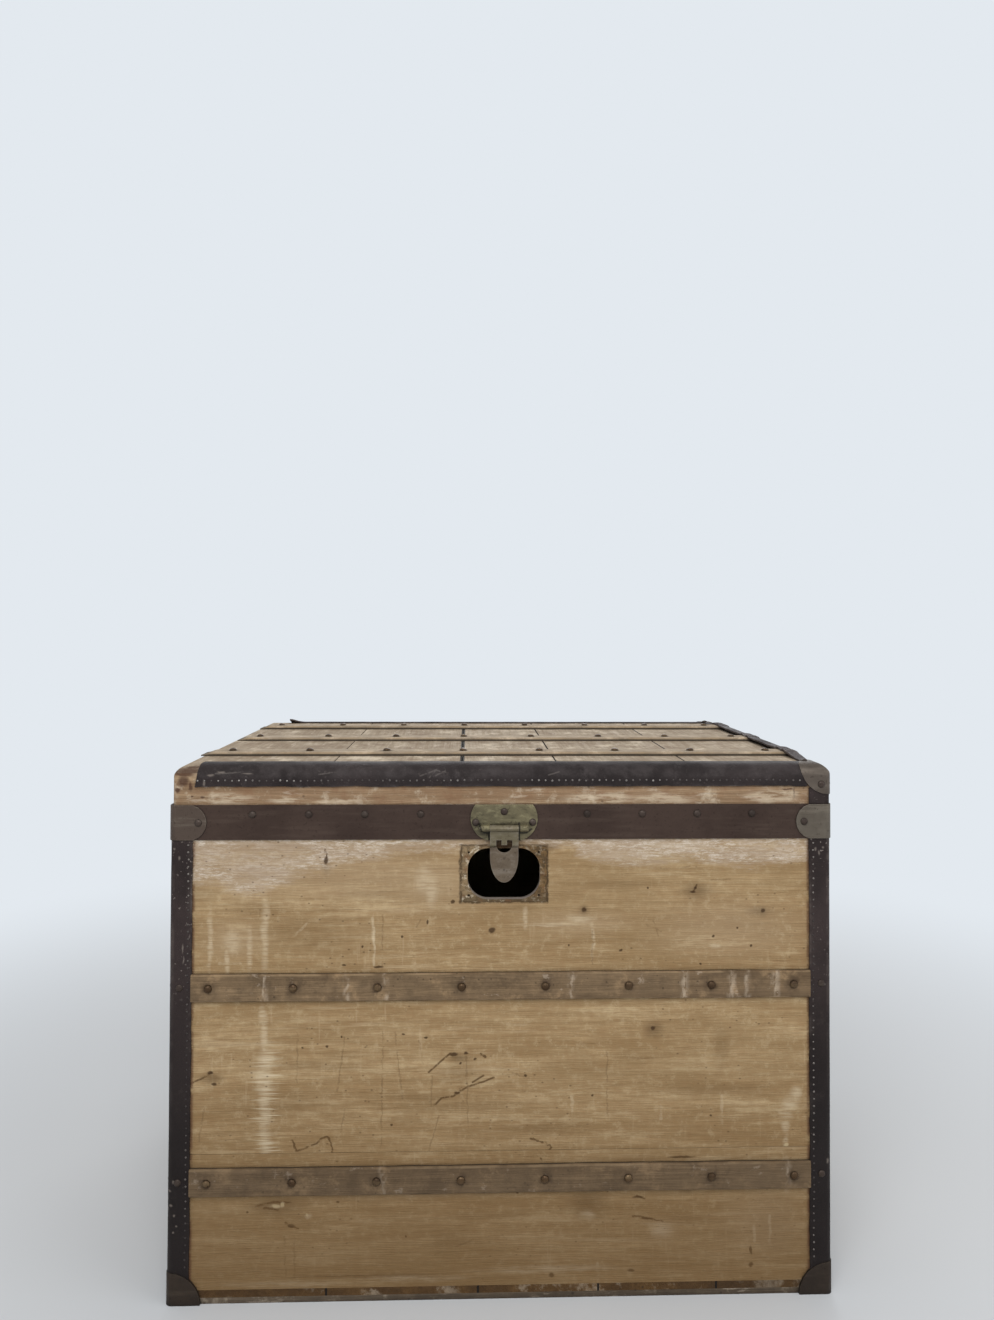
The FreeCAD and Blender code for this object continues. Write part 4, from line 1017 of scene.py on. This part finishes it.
# Slats
def slat_section(width, thick):
    """A worn slat's outline across its width: flat at the back, eased at the front."""
    half, ease, steps = width / 2, 0.0024, 3
    levels = [thick * share for share in (0.0, 0.2, 0.36)]
    points = [(-half, level) for level in levels]
    for side, start in ((-1, math.pi), (1, math.pi / 2)):
        for i in range(steps + 1):
            angle = start - math.pi / 2 * i / steps
            across = side * (half - ease) + ease * math.cos(angle)
            points.append((across, thick - ease + ease * math.sin(angle)))
    points += [(half, level) for level in reversed(levels)]
    flat = [(half * share, thick) for share in (-0.6, -0.2, 0.2, 0.6)]
    middle = len(levels) + steps + 1
    return points[:middle] + flat + points[middle:]


PALE_RUNS = {
    "front_upper_slat": ((-320, 5), (-158, 4), (92, 5), (244, 7), (310, 7), (330, 6), (369, 7), (-210, 3)),
    "front_lower_slat": ((386, 4), (-160, 6)),
}


def slat(node, body, material, run, across, out, seed, feather=0.0, shaded_share=0.25):
    """Replace a slat by a worn one that keeps its box; its first end may be worn thin.

    Its sides are painted with shadow up to a share of its thickness, and a thinned first end is painted
    darker too.
    """
    step, bow_size, nick_size, chip_size, sink_size = 0.004, 0.0006, 0.0005, 0.0009, 0.0003
    rust_start, rust_run, drift_size = 0.005, 0.007, 4.0
    low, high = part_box(node)
    nails = [head[0] for heads in HEADS.values() for head in heads if head[1].dot(out) > 0.5]
    start, end = sorted((low.dot(run), high.dot(run)))
    width = abs((high - low).dot(across))
    thick = abs((high - low).dot(out))
    middle = ((low + high) / 2).dot(across)
    seat_level = min(low.dot(out), high.dot(out))
    nails = [seat for seat in nails if abs(seat.dot(across) - middle) < width / 2]
    section = slat_section(width, thick)
    rings, wear, rust, pale, foot = [], [], [], [], []
    for along in stations(start, end, step):
        ring = []
        thin = near_end(along, start, feather) if feather else 0.0
        for u, v in section:
            edge = abs(u) / (width / 2)
            bow = bow_size * wobble(seed, along * 3, 0, 0)
            bow += nick_size * edge * wobble(seed + 1, along * 22, u * 90, v)
            chip = chip_size * max(0.0, wobble(seed + 2, along * 60, math.copysign(3, u), 0) - 0.35)
            sink = v / thick * sink_size * (1 + wobble(seed + 3, along * 9, u * 40, 1))
            place = u * (1 - chip / width * 2) + bow
            point = run * along + across * (middle + place) + out * (seat_level + v * (1 - 0.7 * thin) - sink)
            ring.append(point)
            wear.append(1.0 if edge > 0.9 and v > thick * 0.5 else 0.0)
            # Mask of painted shadow: the slat's foot, and some on its thinned end.
            foot.append(1.0 if v < thick * shaded_share else 0.8 * thin)
            near = min(((seat - point).length for seat in nails), default=1.0)
            rust.append(max(0.0, 1 - (near - rust_start) / rust_run))
            drift = drift_size * wobble(seed + 4, u * 110, along * 12, 2)
            breadth = 0.75 + 0.7 * wobble(seed + 5, u * 90, along * 25, 3)
            runs = PALE_RUNS.get(node, ())
            pale.append(max([0.0] + [1 - abs(along / MM - x - drift) / (w * breadth) for x, w in runs]))
        rings.append(ring)
    mesh = loft(f"{node}_worn", rings, {"wear": wear, "rust": rust, "pale": pale, "foot": foot})
    finish_piece(f"{node}_worn", mesh, body, material, (node,))


WALLS = (("front", X, -Y), ("back", X, Y), ("left", Y, -X), ("right", Y, X))
for number, (wall, run, out) in enumerate(WALLS):
    material = "slat_wood_x" if run == X else "slat_wood_y"
    for level in ("upper", "lower"):
        slat(f"{wall}_{level}_slat", "case", material, run, Z, out, number * 2 + len(level))
LID_ROWS = ("front", "middle", "back")
for number, row in enumerate(LID_ROWS):
    node = f"lid_{row}_slat"
    slat(node, "lid", "lid_slat_wood", X, Y, Z, 20 + number, feather=0.018, shaded_share=0.4)


# Bound edges
def angle_section(flange_u, flange_v, radius, thick):
    """Outer and inner points of a strip bent round an edge, from one free edge to the other.

    The outer faces meet at the origin; the first leg runs along -u and the second along -v.
    """
    def bent(offset, bend):
        points = []
        for share in (0.0, 0.12, 0.4, 0.75, 1.0):
            points.append((-flange_u + (flange_u - radius) * share, -offset))
        for i in range(1, 6):
            angle = math.pi / 2 * (1 - i / 6)
            points.append((-radius + bend * math.cos(angle), -radius + bend * math.sin(angle)))
        for share in (1.0, 0.75, 0.4, 0.12, 0.0):
            points.append((-offset, -flange_v + (flange_v - radius) * share))
        return points

    return bent(0.0, radius), bent(thick, radius - thick)


def bound_edge(node, body, slot, corner, run, u_axis, v_axis, radius, seed, warp=None, ragged=1.0):
    """Replace a bound edge by a strip with lumps and wavy free edges."""
    step, wave_size, fray_size, lump_size = 0.005, 0.0007, 0.0005, 0.00025
    low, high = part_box(node)
    ends = sorted((low.dot(run), high.dot(run)))
    flanges = [corner.dot(axis) - min(low.dot(axis), high.dot(axis)) for axis in (u_axis, v_axis)]
    outer, inner = angle_section(*flanges, radius, binding_thick)
    last = len(outer) - 1
    rings, wear = [], []
    for along in stations(*ends, step):
        ring = []
        for layer, points in ((0, outer), (1, list(reversed(inner)))):
            for i, (u, v) in enumerate(points):
                i = i if layer == 0 else last - i
                share = i / last
                free = max(0.0, 1 - min(i, last - i) / 1.5)
                wave = wave_size * wobble(seed, along * 28, share * 3, 0)
                wave += fray_size * wobble(seed + 1, along * 110, share * 3, 0)
                wave *= free * ragged
                lump = lump_size * (1 + wobble(seed + 2, along * 30, share * 4, 1)) if layer == 0 else 0.0
                u_move = wave if i < last / 2 else lump
                v_move = lump if i < last / 2 else wave
                point = corner + run * along + u_axis * (u + u_move) + v_axis * (v + v_move)
                ring.append(warp(along, share, point) if warp else point)
                ridge = 1.0 if 5 <= i <= 9 else 0.0
                wear.append(max(free, 0.6 * ridge))
        rings.append(ring)
    mesh = loft(f"{node}_bound", rings, {"wear": wear})
    finish_piece(f"{node}_bound", mesh, body, slot, (node,))


def tack_row(name, start, end, pitch, normal, body, material, seed):
    """A row of small tacks, none quite in line."""
    rng = random.Random(seed)
    count = round((end - start).length / pitch)
    aside = normal.cross(end - start).normalized()
    places = []
    for i in range(count + 1):
        place = start.lerp(end, i / count) + aside * rng.uniform(-0.5, 0.5) * MM
        radius = rng.uniform(1.3, 1.8) * MM
        height = rng.uniform(0.9, 1.1) * MM
        places.append((place, normal, radius, height))
    domes(name, places, body, material, seed, sides=8, rings=2)


corner_radius = 7.2 * MM
lid_edge_radius = 20.2 * MM
tack_inset = 5.0 * MM
tack_pitch = 9.6 * MM
foot_gap, head_gap = 0.050, 0.006

# Upright corners of the case
for number, (side_y, v_axis) in enumerate((("front", -Y), ("back", Y))):
    for side_x, u_axis in (("left", -X), ("right", X)):
        node = f"{side_y}_{side_x}_binding"
        low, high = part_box(node)
        out_x, in_x = (high.x, low.x) if u_axis.x > 0 else (low.x, high.x)
        out_y, in_y = (high.y, low.y) if v_axis.y > 0 else (low.y, high.y)
        seed = 30 + number * 10 + len(side_x)
        corner = Vector((out_x, out_y, 0))
        bound_edge(node, "case", "edge_fibre", corner, Z, u_axis, v_axis, corner_radius, seed)
        foot, head = Vector((0, 0, foot_gap)), Vector((0, 0, high.z - head_gap))
        rows = (
            ("a", Vector((in_x, out_y, 0)) + u_axis * tack_inset, v_axis),
            ("b", Vector((out_x, in_y, 0)) + v_axis * tack_inset, u_axis),
        )
        for more, (letter, row, normal) in enumerate(rows):
            tack_row(
                f"{node}_tacks_{letter}", row + foot, row + head, tack_pitch, normal,
                "case", "dull_tack", seed + more,
            )

# The lid's front leather, cut aslant at its left end
leather_low, leather_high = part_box("lid_front_binding")
leather_slant, slant_reach = 7.4 * MM, 0.06


def slanted(along, share, point):
    return point + X * leather_slant * (1 - share) * near_end(along, leather_low.x, slant_reach)


corner = Vector((0, leather_low.y, leather_high.z))
bound_edge("lid_front_binding", "lid", "edge_leather", corner, X, -Y, Z, lid_edge_radius, 60, slanted, 1.4)
leather_pitch, left_gap, right_gap = 9.1 * MM, 0.004, 0.010
row_z = leather_low.z + 8.0 * MM
row_start = Vector((leather_low.x + left_gap, leather_low.y, row_z))
row_end = Vector((leather_high.x - right_gap, leather_low.y, row_z))
tack_row("lid_front_tacks", row_start, row_end, leather_pitch, -Y, "lid", "tack", 61)

# The lid's right binding, stretched over the slats' ends
slat_rows = [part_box(f"lid_{row}_slat") for row in LID_ROWS]
slat_rise = slat_rows[0][1].z - lid_top


def over_slats(along, share, point):
    """Lift the upper flange over each slat, a little less at its middle and between the slats."""
    between, sunk, end_reach, slat_reach, inset = 0.72, 0.8, 0.05, 0.016, 0.010
    first, last = slat_rows[0][0].y, slat_rows[-1][1].y
    lift = between * near_end(max(first - along, along - last, 0.0), 0.0, end_reach)
    for low, high in slat_rows:
        sag = sunk if low.y + inset < along < high.y - inset else 1.0
        outside = max(low.y - along, along - high.y, 0.0)
        lift = max(lift, sag * near_end(outside, 0.0, slat_reach))
    held_from, held_run = 0.66, 0.22
    held = min(1.0, max(0.0, (held_from - share) / held_run))
    return point + Z * (slat_rise + 1.0 * MM) * lift * held


right_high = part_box("lid_right_binding")[1]
corner = Vector((right_high.x, 0, lid_top + binding_thick))
bound_edge("lid_right_binding", "lid", "edge_fibre", corner, Y, X, Z, lid_edge_radius, 64, over_slats, 2.4)

# The lid's back binding, with its left end curled up
back_low, back_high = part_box("lid_back_binding")
curl, curl_reach = 6.0 * MM, 0.030


def curled(along, share, point):
    up = near_end(along, back_low.x, curl_reach)
    return point + Z * curl * up * max(0.0, 1 - share * 1.8)


corner = Vector((0, back_high.y, back_high.z))
bound_edge("lid_back_binding", "lid", "edge_fibre", corner, X, Y, Z, lid_edge_radius, 68, curled, 1.6)


# The frame's own pieces keep their shape. Each material has a width of eased edges, in millimetres, and nodes
SHOWN = {
    "front_upper_wood": (0.8, "front_upper_board"),
    "front_middle_wood": (0.8, "front_middle_board"),
    "front_lower_wood": (0.8, "front_lower_board"),
    "back_wood": (0.8, "back_boards"),
    "left_wood": (0.8, "left_boards"),
    "right_wood": (0.8, "right_boards"),
    "under_wood": (0.8, "bottom_boards"),
    "lip_wood": (0.8, "front_rim_lip", "left_rim_lip", "right_rim_lip"),
    "runner_wood": (1.2, "bottom_runners"),
    "lid_wood": (0.5, "lid_boards"),
    "rail_wood": (1.0, "lid_front_rail", "lid_back_rail"),
    "side_rail_wood": (1.0, "lid_left_rail", "lid_right_rail"),
    "edge_fibre": (
        0.6, "bottom_left_binding", "bottom_right_binding", "bottom_back_binding", "lid_corner_bindings",
    ),
    "band_metal": (0.5, "lid_front_band", "lid_back_band", "lid_left_band", "lid_right_band"),
    "corner_metal": (0.45, "band_corner_brackets"),
    "cap_metal": (0.45, "lid_corner_caps"),
    "foot_metal": (0.45, "bottom_corner_caps"),
    "hasp_brass": (0.5, "hasp_plate"),
    "hasp_steel": (0.5, "hasp_strap", "hasp_pin"),
    "iron": (
        0.5, "case_hinge_leaves", "lid_hinge_leaves", "hinge_pins", "left_handle_brackets",
        "right_handle_brackets", "left_handle_bail", "right_handle_bail",
    ),
    "lining_cloth": (0.0, "case_lining", "lid_lining"),
}


def ease(piece, width):
    """Round off the sharp edges of a frame piece by modifiers alone."""
    weld = piece.modifiers.new("weld", "WELD")
    weld.merge_threshold = 1e-5
    bevel = piece.modifiers.new("bevel", "BEVEL")
    bevel.width = width
    bevel.segments = 2
    bevel.limit_method = "ANGLE"
    bevel.angle_limit = SHARP
    bevel.harden_normals = True


for material, (eased, *nodes) in SHOWN.items():
    for node in nodes:
        piece = frame["nodes"][node]
        piece.data.materials.clear()
        piece.data.materials.append(MATERIALS[material])
        if eased:
            ease(piece, eased * MM)


# Floor, light and camera
PALE = tone(227, 233, 239)


def floor_material():
    """Pale floor that fades into the background away from the object."""
    material = bpy.data.materials.new("floor")
    tree = Tree(material)
    reach = tree.vector("LENGTH", tree.add("TexCoord", {}, "Object"))
    fade_start, fade_end = 0.8, 2.2
    fade = tree.ramp(reach, fade_start, fade_end)
    plain = tree.add("BsdfDiffuse", {"Color": tone(206, 208, 210)})
    glow = tree.add("Emission", {"Color": PALE})
    tree.end("OutputMaterial", tree.add("MixShader", {0: fade, 1: plain, 2: glow}))
    return material


def floor():
    mesh = bpy.data.meshes.new("floor")
    reach = 14.0
    corners = [(-reach, -reach, 0), (reach, -reach, 0), (reach, reach, 0), (-reach, reach, 0)]
    mesh.from_pydata(corners, [], [(0, 1, 2, 3)])
    mesh.materials.append(floor_material())
    piece = placed("floor", mesh)


def world():
    """Even light all round; the camera and mirrors see the pale background."""
    sky = bpy.data.worlds.new("studio")
    bpy.context.scene.world = sky
    tree = Tree(sky)
    path = tree.make("LightPath")
    seen = tree.calc("MAXIMUM", path.outputs["Is Camera Ray"], path.outputs["Is Glossy Ray"])
    light = tree.add("Background", {"Color": (0.96, 0.98, 1.0, 1.0), "Strength": 0.58})
    shown = tree.add("Background", {"Color": PALE})
    tree.end("OutputWorld", tree.add("MixShader", {0: seen, 1: light, 2: shown}))


def lamp(name, place, target, size, power):
    data = bpy.data.lights.new(name, "AREA")
    data.size = size
    data.energy = power
    piece = placed(name, data)
    piece.location = place
    piece.rotation_euler = (Vector(target) - Vector(place)).to_track_quat("-Z", "Y").to_euler()


def camera():
    """A level eye a little above the lid, in front of the trunk and slightly to its left."""
    data = bpy.data.cameras.new("camera")
    data.sensor_width = 36.0
    data.lens = 25.459
    data.shift_y = -0.0358
    piece = placed("camera", data)
    eye = (-0.050, -1.565, 0.897)
    yaw, pitch, roll = math.radians(-1.78), math.radians(-1.02), math.radians(0.21)
    right = Vector((math.cos(yaw), math.sin(yaw), 0))
    ahead = Vector((-math.sin(yaw), math.cos(yaw), 0))
    up = math.sin(pitch) * ahead + math.cos(pitch) * Z
    ahead = math.cos(pitch) * ahead - math.sin(pitch) * Z
    side = math.cos(roll) * right + math.sin(roll) * up
    top = math.cos(roll) * up - math.sin(roll) * right
    turn = Matrix((side, top, -ahead)).transposed().to_4x4()
    piece.matrix_world = Matrix.Translation(eye) @ turn
    bpy.context.scene.camera = piece


floor()
world()
lamp("key", (-0.4, -2.5, 2.8), (0, 0, 0.45), size=2.2, power=58)
lamp("fill", (2.4, -1.6, 1.9), (0, 0, 0.4), size=2.0, power=16)
lamp("back", (0.4, 2.4, 2.4), (0, 0, 0.4), size=2.0, power=26)
camera()
bpy.context.scene.view_settings.view_transform = "Standard"
